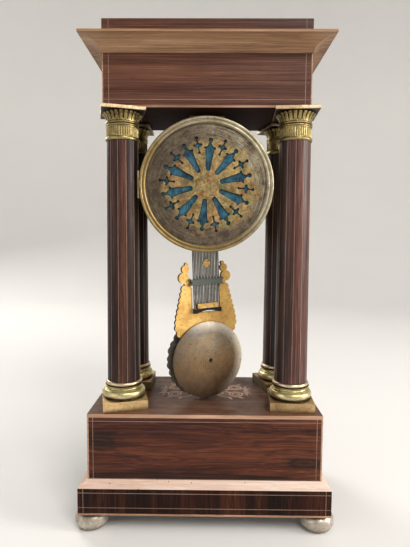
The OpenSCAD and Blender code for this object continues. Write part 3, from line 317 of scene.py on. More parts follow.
COLUMN_LINE = {0.3: "#6a4c40", 0.5: "#8c6c5d", 0.7: "#a6887a"}
SCROLL = {0.3: "#8d6b56", 0.5: "#b18f78", 0.75: "#cdb09b"}

# Knots of the upper plinth: place across, height, width and reach up and down
PLINTH_FOOT = box_mm("upper_plinth")[0][2]
KNOTS = ((-98, PLINTH_FOOT + 24, 26, 8), (104, PLINTH_FOOT + 44, 26, 7), (30, PLINTH_FOOT + 8, 150, 8))
veneer("rosewood", ROSEWOOD, figure=0.6, seed=0.3, streak=0.55, bands=0.6, veins=0.3,
       knots=KNOTS, slope=-0.4)
veneer("rosewood_frieze", FRIEZE, figure=0.1, seed=1.7, streak=0.6, bands=0.15, veins=0.12)
veneer("rosewood_upright", DARK, True, figure=0.4, seed=2.1, streak=0.45, bands=0.6, polish=0.1)
veneer("cornice_wood", TAN, figure=0.2, seed=3.3, rough=(0.42, 0.62), streak=0.42)
veneer("pale_moulding", PALE, figure=0.4, seed=4.2, rough=(0.5, 0.7), holes=130)
veneer("edge_strip", EDGE, figure=0.4, seed=5.1, rough=(0.4, 0.6))
veneer("stringing", LINE, seed=6, rough=(0.4, 0.6))
veneer("column_stringing", COLUMN_LINE, True, seed=6.6, rough=(0.35, 0.5))
veneer("foot_strip", EDGE, seed=6.3, rough=(0.4, 0.6))
veneer("marquetry", SCROLL, seed=8, rough=(0.35, 0.55))


def column_material(corner):
    """Upright strips of veneer round a shaft, each with its own tone; the shafts at -x take a lighter copy of
    the veneer as painted light and those at +x a darker copy as painted shade, and the face of each shaft
    turned into the case is darkened as painted shade.
    """
    cx, cy, cz = middle("column_shaft_" + corner)
    # Painted light: the shafts at -x take the lighter copy as if lit, those at +x the darker copy as if
    # shaded.
    pale = cx < 0
    g = Graph("rosewood_column_" + corner, Specular_IOR_Level=0.32 if pale else 0.2)
    x, y, z = g.split(g.mapped(g.coords(), (cx * MM, cy * MM, 0), kind="TEXTURE"))
    turn = g.math("ARCTAN2", y, x)
    index = g.math("FLOOR", (turn - STRIP_START) * (STRIPS / tau))
    seed = 3 + 17 * CORNERS.index(corner)
    own = g.wire("ShaderNodeTexWhiteNoise", {"W": index + seed}, "Value", noise_dimensions="1D")
    strip = g.join(turn * 0.016, index * 0.7, z)
    slow = g.noise((120, 1, 9), 3, 0.6, at=strip)
    fine = g.noise((900, 1, 20), 5, 0.65, at=strip).span(0.3, 0.7)
    tone = slow * 0.65 + fine * 0.35 + own.span(0, 1, -0.07, 0.07)
    colour = g.ramp(tone, SHAFT_LIT_COPY if pale else SHAFT_SHADED_COPY)
    nx, ny, nz = g.normal()
    # Painted shade: the face of the shaft turned into the case is darkened.
    painted_shade_side = ny if corner.startswith("front") else nx * -copysign(1, cx) - 0.35
    colour = g.mix(colour, "#120a08", painted_shade_side.span(-0.1, 0.5, 0, 0.75))
    colour = g.mix("#0b0504", colour, g.cells(85).span(0.05, 0.075))
    g.surface(colour, fine, 0.08, g.noise((120, 1, 40), at=strip).span(0.3, 0.75, 0.36, 0.52))


def plinth_top_material():
    """Figured top with a pale lipping on its edges."""
    g = Graph("plinth_top_wood", Specular_IOR_Level=0.2)
    fine = g.noise((18, 420, 420), 5, 0.65)
    tone = g.noise((8, 60, 60), 3, 0.6, 0.4) * 0.6 + fine * 0.4
    top = g.mix(g.ramp(tone, TOP), "#8f7763", g.noise(40, 4, 0.6).span(0.45, 0.75, 0, 0.3))
    colour = g.mix(top, g.ramp(tone, EDGE), abs(g.normal()[2]) < 0.6)
    g.surface(colour, fine, 0.1, g.noise(60).span(0.3, 0.75, 0.28, 0.5), 0.0004)


def soffit_material():
    """Underside of dark wood darkened further as painted shade, with a pale lipping round its edge."""
    g = Graph("soffit_lipped", Specular_IOR_Level=0.1)
    fine = g.noise((18, 420, 420), 5, 0.65)
    colour = g.mix(g.ramp(fine, UNDERSIDE_WITH_PAINTED_SHADE), g.ramp(fine, LIPPING), abs(g.normal()[2]) < 0.6)
    g.surface(colour, fine, 0.1, fine.span(0.3, 0.7, 0.7, 0.9), 0.0004)


# Metals

def metal(name, bright, dull, dirt, spots=0.35, rough=(0.3, 0.55), hollow=0.0025, metallic=1, painted_shade_sides=None):
    """Old metal: polish worn in patches, dull film, dirt in the hollows and fine scratches.

    The last argument is (axis, low, high, tint, both): faces that turn away from the axis take the tint as
    painted shade.
    """
    g = Graph(name, Metallic=metallic)
    patch = g.noise(55, 5, 0.62, 0.6)
    speck = g.noise(420, 4, 0.6)
    colour = g.mix(bright, dull, patch.span(0.38, 0.68))
    colour = g.mix(colour, dirt, speck.span(0.52, 0.75, 0, spots))
    if hollow:
        colour = g.mix(dirt, colour, g.hollows(hollow).span(0.35, 0.95))
    # Painted shade on the faces that turn away from the axis.
    if painted_shade_sides:
        axis, low, high, tint, both = painted_shade_sides
        facing = g.vector("DOT_PRODUCT", g.coords("Normal"), axis)
        facing = abs(facing) if both else facing
        tint = g.mix(tint, dirt, speck.span(0.45, 0.7, 0, 0.5))
        colour = g.mix(tint, colour, facing.span(low, high))
    scratch = g.noise((60, 2200, 900), 3, rot=(0.4, 0.3, 0.8))
    g.surface(colour, speck + scratch * 0.35, 0.1, (patch + speck * 0.4).span(0.4, 0.95, *rough))


def around(g, place):
    """Coordinates about the Y axis of a place: x, z, distance from it, and noise drawn out along circles."""
    x, y, z = g.split(g.local(place))
    flat = g.join(x, 0, z)
    r = g.vector("LENGTH", flat)
    way_x, way_y, way_z = g.split(g.vector("NORMALIZE", flat))
    return x, z, r, g.noise(1, 4, 0.62, at=g.join(way_x * 3, r * 800, way_z * 3))


def ring_metal(name, bright, dull, dirt, rough=(0.3, 0.5), shade=None):
    """Lathe-turned metal of the drum: fine rings and stains along them; low towards +x, away from the lamps,
    it can take a darker, browner tint as painted shade.
    """
    g = Graph(name, Metallic=1)
    x, z, r, turned = around(g, DRUM)
    stain = g.noise(46, 6, 0.66, 0.8)
    speck = g.noise(300, 5, 0.65)
    film = stain + turned * 0.3
    colour = g.mix(bright, dull, film.span(0.5, 0.82))
    # Painted shade: the ring turns browner low and towards +x.
    if shade:
        low = x - z * 0.8 + (stain - 0.5) * 0.06
        colour = g.mix(colour, shade, low.span(-0.03, 0.03, 0, 0.85))
    colour = g.mix(colour, dirt, speck.span(0.5, 0.78, 0, 0.6))
    colour = g.mix(dirt, colour, g.hollows(0.002).span(0.3, 0.9))
    g.surface(colour, turned * 0.6 + speck, 0.14, film.span(0.4, 0.95, *rough))


def fret_material():
    """Pierced cover: brown film with worn arcs round the edge, rubbed gold with rust and green inside it; the
    arcs are lightened towards the top and -x as painted highlight, and the walls of the openings are darkened
    as painted shade.
    """
    g = Graph("cover_brass", Metallic=0.9)
    x, z, r, arc = around(g, DRUM)
    big = g.noise(38, 5, 0.6, 0.5)
    small = g.noise(150, 6, 0.68, 0.7)
    rust = g.noise(120, 5, 0.7, 0.4, loc=(1, 5, 2))
    green = g.noise(95, 5, 0.7, 0.4, loc=(3, 1, 2))
    speck = g.noise(640, 4, 0.62)
    gold = g.mix("#796344", "#b8a270", small.span(0.4, 0.63))
    gold = g.mix(gold, "#9c6238", rust.span(0.5, 0.64, 0, 0.5))
    gold = g.mix(gold, "#e0c27c", big.span(0.5, 0.66) * x.span(-0.03, -0.012, 0.8, 0))
    film = g.mix("#6e6255", "#483e35", small.span(0.36, 0.62))
    film = g.mix(film, "#3f3529", x.span(0.012, 0.05, 0, 0.45))
    film = g.mix(film, "#8c7c62", arc.span(0.5, 0.68, 0, 0.55))
    # Painted highlight: pale arcs towards the top and -x of the edge, over the turned wear.
    worn = (z * 0.5 - x).span(0.012, 0.052) * (arc + big).span(0.86, 1.12, 0, 0.65)
    film = g.mix(film, "#b9ae93", worn)
    away = g.vector("LENGTH", g.join(x + 0.004, 0, z + 0.003))
    edge = (away + (big - 0.5) * 0.05 + (small - 0.5) * 0.022).span(0.042, 0.0475)
    colour = g.mix(gold, film, edge)
    colour = g.mix(colour, "#66744f", green.span(0.52, 0.64) * edge.span(0.2, 1, 0.6, 0.1))
    colour = g.mix(colour, "#3d3022", speck.span(0.52, 0.68, 0, 0.6))
    # Painted shade: the walls of the openings, which face neither back nor front, turn near black.
    colour = g.mix("#231b12", colour, abs(g.normal()[1]).span(0.4, 0.8))
    g.surface(colour, speck + arc * 0.5, 0.2, (small + edge * 0.25).span(0.3, 0.95, 0.36, 0.62))


def bob_material():
    """Back of the bob: grey film above, rubbed brown in the middle, dark below, rings round the dimple;
    painted shade towards +x and a painted highlight on the rim, up and towards -x.
    """
    g = Graph("bob_brass", Metallic=0.85)
    x, z, r, arc = around(g, BOB)
    ring_pitch = 0.0021
    blotch = g.noise(45, 5, 0.62, 0.6)
    small = g.noise(150, 5, 0.68, 0.5, loc=(2, 0, 1))
    speck = g.noise(520, 4, 0.6)
    height = z + (blotch - 0.5) * 0.04 + (small - 0.5) * 0.02
    colour = g.ramp(height.span(-0.038, 0.036), {0: "#5c4b3a", 0.24: "#765f47", 0.5: "#8a7052",
                                                 0.74: "#94846d", 1: "#7f766b"})
    colour = g.mix(colour, "#a8824f", small.span(0.48, 0.66) * z.span(-0.03, 0, 0.12, 0.45))
    cool = g.noise(60, 4, 0.6, loc=(4, 4, 1)).span(0.5, 0.66) * z.span(0, 0.022, 0, 0.7)
    colour = g.mix(colour, "#5b5860", cool)
    colour = g.mix(colour, "#54453a", arc.span(0.5, 0.7, 0, 0.4))
    # Painted shade: darker towards +x.
    colour = g.mix(colour, "#463a2e", x.span(0.008, 0.04, 0, 0.7))
    # Painted highlight: a pale band along the rim, up and towards -x.
    colour = g.mix(colour, "#d4c9b7", r.span(0.029, 0.038) * (z * 0.5 - x).span(-0.01, 0.02, 0, 0.95))
    near = r.span(0.003, 0.005) * r.span(0.0105, 0.0135, 1, 0)
    ring = (r * (tau / ring_pitch)).sine().span(-0.2, 1) * near
    colour = g.mix(colour, "#4b3b2a", ring * 0.55)
    colour = g.mix(colour, "#3a2d20", speck.span(0.54, 0.7, 0, 0.5))
    colour = g.mix("#2a2017", colour, (r + small * 0.002).span(0.0018, 0.0042))
    g.surface(colour, arc * 0.6 + (speck - ring), 0.16, small.span(0.3, 0.75, 0.44, 0.64))


def base_material(corner):
    """Column base: its block is earthier than the turned rings over it; at the right corners the block is
    painted brighter as if lit, and the faces of the block turned into the case are darkened as painted shade.
    """
    node = "column_base_" + corner
    g = Graph("base_brass_" + corner, Metallic=1)
    x, y, z = g.split(g.coords())
    nx, ny, nz = g.normal()
    block_h, dirt = 9.5, "#4a3a1e"
    top = (box_mm(node)[0][2] + block_h) * MM
    # Painted light: the blocks at the right corners take a brighter copy of the brass as if lit, the others a
    # duller copy as if shaded.
    bright, dull = ("#e6c792", "#bc9a6c") if corner.endswith("right") else ("#c9ab7e", "#9a7d58")
    patch = g.noise(60, 5, 0.62, 0.6)
    speck = g.noise(420, 4, 0.6)
    turned = g.mix("#d8ca94", "#a39566", patch.span(0.38, 0.66))
    turned = g.mix(turned, "#cbb49c", z.span(top + 0.0128, top + 0.0137, 0, 0.75))
    turned = g.mix(turned, "#d9d4c4", z.span(top + 0.0015, top + 0.006, 0.7, 0))
    # Painted shade: the faces of the block turned into the case.
    painted_shade_inner = nx * (-1 if middle(node)[0] > 0 else 1)
    if corner.startswith("front"):
        painted_shade_inner = g.math("MAXIMUM", painted_shade_inner, ny)
    block = g.mix(bright, dull, patch.span(0.36, 0.66))
    block = g.mix(block, "#3b2e1f", painted_shade_inner.span(0.3, 0.8, 0, 0.8))
    above = z > top
    colour = g.mix(block, turned, above)
    colour = g.mix(colour, dirt, speck.span(0.5, 0.74, 0, 0.45))
    colour = g.mix(dirt, colour, g.hollows(0.004).span(0.3, 0.95))
    g.surface(colour, speck, 0.12, patch.span(0.3, 0.75, 0.46, 0.62) - above * 0.16)


# Bars among the pendulum's rods: heights over the middle of the bob, and the back of the rods, in metres
LOW_BAR_Z, CROSSBAR_Z, CLASP_Z = (0.0556, 0.0607), (0.0795, 0.0867), (0.0965, 0.108)
CLASP_BACK = 0.00155


def gridiron_material(name, rod, rod_dull, gilt):
    """Rods of the pendulum, with gilt blocks or the dark crossbar told apart by their height over the bob;
    each rod keeps its colour only in the middle that faces straight back, its flanks painted near black as
    shade.
    """
    g = Graph(name, Specular_IOR_Level=0.15)
    x, y, z = g.split(g.local(BOB))
    patch = g.noise(90, 4, 0.6)
    speck = g.noise(500, 4, 0.6)
    # Painted shade: only the middle of a rod that faces straight back keeps its colour; its flanks turn near
    # black.
    core_clear_of_painted_shade = abs(g.normal()[1]).span(0.89, 0.98)
    colour = g.mix("#0e0d0b", g.mix(rod, rod_dull, patch.span(0.4, 0.65)), core_clear_of_painted_shade)

    def between(heights):
        return (z > heights[0]) * (z < heights[1])

    if gilt:
        block = g.mix("#cfa862", "#9c7440", speck.span(0.4, 0.7))
        clasp = between(CLASP_Z) * (y > CLASP_BACK)
        colour = g.mix(colour, block, g.math("MAXIMUM", between(LOW_BAR_Z), clasp))
    else:
        colour = g.mix(colour, "#565a53", between(CROSSBAR_Z))
    colour = g.mix(colour, "#1d1a16", speck.span(0.5, 0.75, 0, 0.45))
    colour = g.mix("#14120f", colour, g.hollows(0.002).span(0.35, 0.9))
    g.set("Metallic", core_clear_of_painted_shade)
    g.surface(colour, speck, 0.1, patch.span(0.3, 0.7, 0.3, 0.5), 0.0002)


# Feet: faces turned downward take a darker tint as painted shade.
metal("foot_metal", "#c3b9ab", "#8d8273", "#453c32", 0.6, (0.26, 0.46), 0.006, 0.7,
      painted_shade_sides=(UP, -0.95, -0.1, "#7d7263", False))
metal("mount_brass", "#a39160", "#6d5e40", "#281d0d", 0.6, (0.3, 0.5), 0.0022)
# Abacus: faces turned downward take a near-black tint as painted shade, and its wider reach of dark in the
# hollows is partly painted shade too.
metal("abacus_brass", "#c9b191", "#9a7c58", "#3d2a18", 0.55, (0.38, 0.6), 0.004,
      painted_shade_sides=(UP, -0.9, -0.3, "#241a10", False))
metal("case_brass", "#a99467", "#7a6945", "#3a2e1c", 0.55, (0.3, 0.54), 0.002)
metal("gilt_relief", "#dcb46a", "#c09550", "#6e4b20", 0.4, (0.36, 0.58), 0.0016)
# Pendulum plate: the edge faces, turned neither to the back nor to the front, take a dark tint as painted
# shade.
metal("gilt_plate", "#dfba73", "#c39a58", "#7d5228", 0.6, (0.42, 0.62), 0.0012,
      painted_shade_sides=(PLATE_BACK, 0.55, 0.85, "#3d2c16", True))
# Wreath: faces that turn away from the pendulum's front take a grey tint as painted shade.
metal("gilt_wreath", "#d8af62", "#b98d49", "#3a352a", 0.5, (0.45, 0.65), 0.0016,
      painted_shade_sides=(PLATE_FRONT, 0.4, 0.8, "#77746a", False))
metal("movement_brass", "#bfa25c", "#9c8148", "#544221", 0.25, (0.25, 0.45), 0.001)
metal("plain_steel", "#8b8985", "#5e5d5c", "#2a2825", 0.4, (0.25, 0.5), 0.0012)
metal("blued_steel", "#1d2333", "#161a26", "#0c0d12", 0.2, (0.22, 0.4), 0)
# The door ring's browner tint low towards +x is painted shade.
ring_metal("door_brass", "#c4baa0", "#948a6f", "#332919", shade="#8f7645")
ring_metal("drum_brass", "#a3977a", "#75694c", "#33291a", (0.34, 0.54))
gridiron_material("gridiron_rods", "#b9b6ae", "#8b8881", False)
gridiron_material("gridiron_gilt", "#d3cdbf", "#a79f8d", True)


# Cloth, enamel, ink and glass

def cloth_material():
    """Blue-green plain weave with faded warp and weft threads, with painted shadow under the edges of the
    openings.
    """
    g = Graph("blue_cloth", Roughness=0.9, Sheen_Weight=0.2, Specular_IOR_Level=0.2)
    x, y, z = g.split(g.coords())
    pitch = tau / 0.0009
    weave = (x * pitch).sine() * (z * pitch).sine()
    thread = g.noise((900, 900, 120), 2)
    colour = g.mix("#123040", "#3a7083", g.noise(110, 5, 0.62).span(0.36, 0.66))
    colour = g.mix(colour, "#5f8d97", thread.span(0.52, 0.75, 0, 0.4))
    colour = g.mix(colour, "#0f2530", weave.span(0.2, 1, 0, 0.4))
    # Painted shadow: the cloth darkens where the cover's edges come close over it.
    colour = g.mix("#08141a", colour, g.hollows(0.006).span(0.42, 0.92))
    g.surface(colour, weave + thread, 0.5, depth=0.0004)


def enamel_material():
    """White enamel with a faint craze and a few warm marks."""
    g = Graph("enamel", Roughness=0.16)
    tint = g.noise(30)
    colour = g.mix("#efe9da", "#e2d8c2", tint.span(0.45, 0.75))
    craze = g.cells(160, "DISTANCE_TO_EDGE").span(0, 0.012, 0.75, 1)
    g.surface(g.mix("#b9ad96", colour, craze), tint, 0.05)


def ink_material():
    g = Graph("dial_ink", Roughness=0.4)
    g.set("Base Color", g.mix("#16130f", "#2b241c", g.noise(200)))


def glass_material():
    g = Graph("bezel_glass", Transmission_Weight=1, IOR=1.48, Roughness=0)
    ripple = g.noise(40, 2)
    colour = g.mix((0.95, 0.97, 0.95), (0.98, 0.985, 0.97), ripple)
    g.surface(colour, ripple, 0.03, depth=0.0004)


for finish in (plinth_top_material, soffit_material, fret_material, bob_material, cloth_material,
               enamel_material, ink_material, glass_material):
    finish()
for corner in CORNERS:
    column_material(corner)
    base_material(corner)


# Finish of each node; what isn't listed is movement brass

FINISH = {
    "upper_plinth": "rosewood", "top_cap": "rosewood_frieze", "frieze": "rosewood_frieze",
    "lower_plinth": "rosewood_upright", "cornice": "cornice_wood", "plinth_moulding": "pale_moulding",
    "plinth_top": "plinth_top_wood", "soffit": "soffit_lipped", "drum_case": "drum_brass",
    "rear_door": "door_brass", "rear_fret": "cover_brass", "bezel": "case_brass", "bell": "case_brass",
    "bezel_glass": "bezel_glass", "dial": "enamel", "minute_hand": "blued_steel", "hour_hand": "blued_steel",
    "gridiron_steel": "gridiron_rods", "gridiron_brass": "gridiron_gilt", "pendulum_plate": "gilt_plate",
    "pendulum_bob": "bob_brass", "bob_wreath": "gilt_wreath",
}
for name in ("column_rods", "back_cock", "anchor_crutch", "hammer", "suspension_spring", "going_arbor",
             "strike_arbor", "bell_stand"):
    FINISH[name] = "plain_steel"
for corner in CORNERS:
    FINISH["foot_" + corner] = "foot_metal"
    FINISH["column_shaft_" + corner] = "rosewood_column_" + corner
    FINISH["column_base_" + corner] = "base_brass_" + corner
    FINISH["column_capital_" + corner] = "mount_brass"
for name, obj in NODES.items():
    obj.data.materials.clear()
    obj.data.materials.append(MATERIALS[FINISH.get(name, "movement_brass")])


# Mesh helpers, in millimetres in the row frame

WELD = 1e-7


class Build:
    """Collects the faces of one piece."""

    def __init__(self, verts=(), faces=()):
        self.verts, self.faces = list(verts), list(faces)

    def grid(self, rows, close_u=False, close_v=False):
        """Faces over equal rows; close_u joins each row's ends, close_v joins the last row to the first."""
        base, n = len(self.verts), len(rows[0])
        for row in rows:
            self.verts += row
        for i in range(len(rows) if close_v else len(rows) - 1):
            for j in range(n if close_u else n - 1):
                a, b = base + i * n, base + (i + 1) % len(rows) * n
                k = (j + 1) % n
                self.faces.append((a + j, a + k, b + k, b + j))

    def cap(self, points):
        base = len(self.verts)
        self.verts += points
        self.faces.append(tuple(range(base, base + len(points))))

    def tube(self, rows):
        """Closed rows joined into a solid, with a flat face on the first and on the last."""
        self.grid(rows, close_u=True)
        self.cap(rows[0])
        self.cap(rows[-1])

    def slab(self, outline, low, high, at):
        """Flat piece with a given outline between two heights, set in space by at(u, v, w)."""
        self.tube([[at(u, v, w) for u, v in outline] for w in (low, high)])

    def ribbon(self, points, width, low, high, at, close=False):
        """Strip that follows a path; width may be a number or a function of the share along it."""
        left, right = [], []
        n = len(points)
        for i, (u, v) in enumerate(points):
            a = points[(i - 1) % n] if close or i else points[0]
            b = points[(i + 1) % n] if close or i < n - 1 else points[-1]
            du, dv = b[0] - a[0], b[1] - a[1]
            size = hypot(du, dv) or 1
            half = (width(i / (n - 1)) if callable(width) else width) / 2
            left.append((u - dv / size * half, v + du / size * half))
            right.append((u + dv / size * half, v - du / size * half))
        rows = [[at(*p, high) for p in left], [at(*p, high) for p in right],
                [at(*p, low) for p in right], [at(*p, low) for p in left]]
        if close:
            self.grid(rows, close_u=True, close_v=True)
        else:
            self.tube([list(ring) for ring in zip(*rows)])

    def make(self, name, material, body, place=Matrix(), sharp=None, smooth=True):
        """The piece with its faces turned outward; sharp is the angle over which an edge stays crisp."""
        data = bpy.data.meshes.new(name)
        data.from_pydata([place @ Vector(v) * MM for v in self.verts], [], self.faces)
        bm = bmesh.new()
        bm.from_mesh(data)
        bmesh.ops.remove_doubles(bm, verts=bm.verts, dist=WELD)
        bmesh.ops.recalc_face_normals(bm, faces=bm.faces)
        bm.to_mesh(data)
        bm.free()
        for poly in data.polygons:
            poly.use_smooth = smooth
        if sharp:
            data.set_sharp_from_angle(angle=radians(sharp))
            rims = [i for poly in data.polygons if len(poly.vertices) > 4 for i in poly.loop_indices]
            for i in rims:
                data.edges[data.loops[i].edge_index].use_edge_sharp = True
        data.materials.append(MATERIALS[material])
        obj = new_object(name, data)
        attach(obj, body)
        return obj

    def inlay(self, name, material):
        """Flat-faced trim of light wood on the case."""
        return self.make(name, material, "case", smooth=False)


def rectangle(u0, u1, v0, v1):
    return [(u0, v0), (u1, v0), (u1, v1), (u0, v1)]


# Strips of light wood let into the veneer

INLAY_DEPTH = -0.2


def upright_faces(node):
    """Half width, height and map of each upright face of a box node.

    A map takes u along the face, v up from its foot and w out of it.
    """
    lo, hi = box_mm(node)
    cx, cy, cz = middle(node)
    hx, hy, tall = hi[0] - cx, hi[1] - cy, hi[2] - lo[2]
    return ((hx, tall, lambda u, v, w: (cx - u, hi[1] + w, lo[2] + v)),
            (hx, tall, lambda u, v, w: (cx + u, lo[1] - w, lo[2] + v)),
            (hy, tall, lambda u, v, w: (hi[0] + w, cy + u, lo[2] + v)),
            (hy, tall, lambda u, v, w: (lo[0] - w, cy - u, lo[2] + v)))


def stringing(name, node, inset, heights, line=0.5, proud=0.07, over=0.02):
    """Crossing inlaid lines on the four faces of a box; a height below 0 counts from the top."""
    b = Build()
    half_line = line / 2
    for half, tall, at in upright_faces(node):
        for u in (-half + inset, half - inset):
            b.slab(rectangle(u - half_line, u + half_line, 0, tall), INLAY_DEPTH, proud, at)
        for v in heights:
            v = v if v > 0 else tall + v
            b.slab(rectangle(-half, half, v - half_line, v + half_line), INLAY_DEPTH, proud + over, at)
    b.inlay(name, "stringing")


stringing("frieze_stringing", "frieze", 6.3, [5.2])
stringing("upper_stringing", "upper_plinth", 5.5, [6, -3.6])
stringing("lower_stringing", "lower_plinth", 5.3, [7.6, -4.2])
stringing("cap_stringing", "top_cap", 6.5, [])


def corner_edges(name, node, wide, proud=0.12, inset=0.5, deep=0.4, gap=0.05):
    """Rounded light edge strips on the upright corners of a box."""
    lo, hi = box_mm(node)
    b = Build()
    radius, steps = inset + proud, 6
    quarter = [t * pi / 2 / steps for t in range(steps + 1)]
    section = [(-wide, proud)]
    section += [(-inset + radius * sin(t), -inset + radius * cos(t)) for t in quarter]
    section += [(proud, -wide), (-deep, -wide), (-deep, -deep), (-wide, -deep)]
    for sx, x in ((-1, lo[0]), (1, hi[0])):
        for sy, y in ((-1, lo[1]), (1, hi[1])):
            b.tube([[(x + sx * u, y + sy * v, z) for u, v in section] for z in (lo[2] + gap, hi[2] - gap)])
    b.inlay(name, "edge_strip")


corner_edges("upper_edges", "upper_plinth", 1.4)
corner_edges("frieze_edges", "frieze", 1)


def foot_band(name, node, tall, proud=0.25, deep=0.3, belly=0.1, ease=0.4):
    """Cream strip round the foot of a box."""
    lo, hi = box_mm(node)
    full = proud + belly
    profile = [(-deep, 0), (proud, 0), (full, ease), (full, tall - ease), (proud, tall), (-deep, tall)]
    b = Build()
    rows = []
    for u, v in profile:
        outline = rectangle(lo[0] - u, hi[0] + u, lo[1] - u, hi[1] + u)
        rows.append([(x, y, lo[2] + v) for x, y in outline])
    b.grid(rows, close_u=True, close_v=True)
    b.inlay(name, "foot_strip")


foot_band("lower_band", "lower_plinth", 1.9)


def column_stringing(corner, wide=0.4, proud=0.06, deep=-0.25, gap=0.3, steps=8):
    """Fine upright lines between the strips of a shaft's veneer."""
    lo, hi = box_mm("column_shaft_" + corner)
    cx, cy, cz = middle("column_shaft_" + corner)
    low_r, high_r = 33.2 / 2, 30.8 / 2
    b = Build()
    for k in range(STRIPS):
        turn = STRIP_START + tau * k / STRIPS
        rows = []
        for i in range(steps + 1):
            s = i / steps
            z = lo[2] + gap + (hi[2] - lo[2] - 2 * gap) * s
            row = []
            for out, side in ((proud, -1), (proud, 1), (deep, 1), (deep, -1)):
                r = low_r + (high_r - low_r) * s + out
                a = turn + side * wide / 2 / r
                row.append((cx + r * cos(a), cy + r * sin(a), z))
            rows.append(row)
        b.tube(rows)
    b.inlay("column_lines_" + corner, "column_stringing")


for corner in CORNERS:
    column_stringing(corner)


# Capitals with a ring of leaves, two astragals and a fluted neck

NECK_R, FLARE_R, CAPITAL_TOP_R = 15.2, 18.7, 17.6
TORUS_Z, FLUTES_Z, FLARE_Z, RIM_Z, CAPITAL_TOP_Z = 3.2, 13.6, 18.2, 26.4, 27.3
LEAVES, FLUTES = 24, 44


def bulge(z, middle_z, half):
    """Height of a half-round moulding, from 0 to 1."""
    return sqrt(max(0, 1 - ((z - middle_z) / half) ** 2))


def capital_radius(z, share):
    """Radius of a capital at height z over its foot, at a share of a full turn."""
    if z < TORUS_Z:
        return NECK_R + 0.3 + 1.25 * bulge(z, 1.6, 1.65)
    if z < FLUTES_Z:
        f = abs((share * FLUTES) % 1 - 0.5) * 2
        arch = 13 - 1.3 * (1 - sqrt(max(0, 1 - f * f)))
        dip = smooth(1 - f, 0.06, 0.4) * smooth(z, 3.4, 4.1) * (1 - smooth(z, arch - 0.5, arch))
        return NECK_R + 0.45 - 0.5 * dip
    if z < FLARE_Z:
        return NECK_R + 0.25 + max(bulge(z, bead_z, 0.95) for bead_z in (14.7, 17))
    t = min((z - FLARE_Z) / (RIM_Z - FLARE_Z), 1)
    r = NECK_R + 0.3 + (FLARE_R - NECK_R - 0.3) * (1 - cos(t * pi / 2))
    f = abs((share * LEAVES) % 1 - 0.5) * 2
    gap = 0.1 + 0.28 * smooth(t, 0.25, 0.95)
    leaf_in = smooth(1 - f, gap * 0.4, gap + 0.12)
    rib = 0.14 * (1 - smooth(f, 0, 0.22)) * smooth(t, 0.1, 0.5)
    droop = 0.7 * smooth(t, 0.72, 0.92) * leaf_in
    return r + 0.2 + droop + rib - 1.5 * (1 - leaf_in) * smooth(t, 0.02, 0.35)


# Heights of the rows of points: close where the profile bends
CAPITAL_LEVELS = [0.02, 0.3, 0.8, 1.6, 2.4, 2.8, 3.1, 3.19, 3.25, 3.5, 4.1, 5, 7, 9, 10.6, 11.4, 11.9, 12.3,
                  12.7, 13, 13.3, 13.58, 13.7, 13.9, 14.3, 14.7, 15.1, 15.5, 15.85, 16.2, 16.6, 17, 17.4,
                  17.8, 18.15, 18.3] + [18.6 + 0.3 * i for i in range(26)] + [RIM_Z]


def capital(place, corner):
    count = 8 * FLUTES
    rows = []
    for z in CAPITAL_LEVELS:
        radii = [capital_radius(z, k / count) for k in range(count)]
        rows.append([(r * c, r * s, z) for r, (c, s) in zip(radii, circle(count))])
    rows.append([(CAPITAL_TOP_R * c, CAPITAL_TOP_R * s, CAPITAL_TOP_Z) for c, s in circle(count)])
    b = Build()
    b.tube(rows)
    turned = b.make("capital_" + corner, "mount_brass", "case", place=place, sharp=50)
    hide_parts("column_capital_" + corner)


def abacus(place, corner, half=21, low=27.05, high=30.95, steps=14):
    """Square plate over a capital, with eased and slightly dented edges."""
    rim = [(-1.1, low), (-0.35, low + 0.1), (0, low + 0.5), (0, high - 0.7), (-0.3, high - 0.2), (-0.9, high)]
    rows = []
    for d, z in rim:
        row = []
        for side in range(4):
            for i in range(steps):
                u = -1 + 2 * i / steps
                bow = 0.25 * (sin(7.3 * u + side * 2.1 + CORNERS.index(corner)) * 0.5 + 0.5)
                x, y = half + d - bow * 0.4, u * (half + d)
                x, y = [(x, y), (-y, x), (-x, -y), (y, -x)][side]
                row.append((x, y, z - (0.25 * bow if z > low + 1 else 0)))
        rows.append(row)
    b = Build()
    b.tube(rows)
    plate = b.make("abacus_" + corner, "abacus_brass", "case", place=place, sharp=40)
    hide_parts("column_capital_" + corner)


for corner in CORNERS:
    cx, cy, cz = middle("column_capital_" + corner)
    foot = Matrix.Translation((cx, cy, box_mm("column_capital_" + corner)[0][2]))
    foot = foot @ Matrix.Rotation(radians(COLUMN_TURN[corner]), 4, "Z")
    capital(foot, corner)
    abacus(foot, corner)


# Cloth stretched behind the pierced cover

def cover_cloth(rings=40, count=96, least=0.004, sag=0.12):
    lo, hi = box_mm("fret_cloth")
    radius, y = (hi[0] - lo[0]) / 2, (lo[1] + hi[1]) / 2
    rows = []
    for i in range(rings + 1):
        r = radius * (least + (1 - least) * i / rings)
        row = []
        for k, (c, s) in enumerate(circle(count)):
            wave = sag * sin(5 * tau * k / count + r / 6) * sin(r / 9)
            row.append((DRUM_X + r * c, y + wave, DRUM_Z + r * s))
        rows.append(row)
    b = Build()
    b.grid(rows, close_u=True)
    b.cap(rows[0])
    sheet = b.make("cover_cloth", "blue_cloth", "rear_door")
    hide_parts("fret_cloth")


cover_cloth()


# Pierced cover with softened edges over the cloth

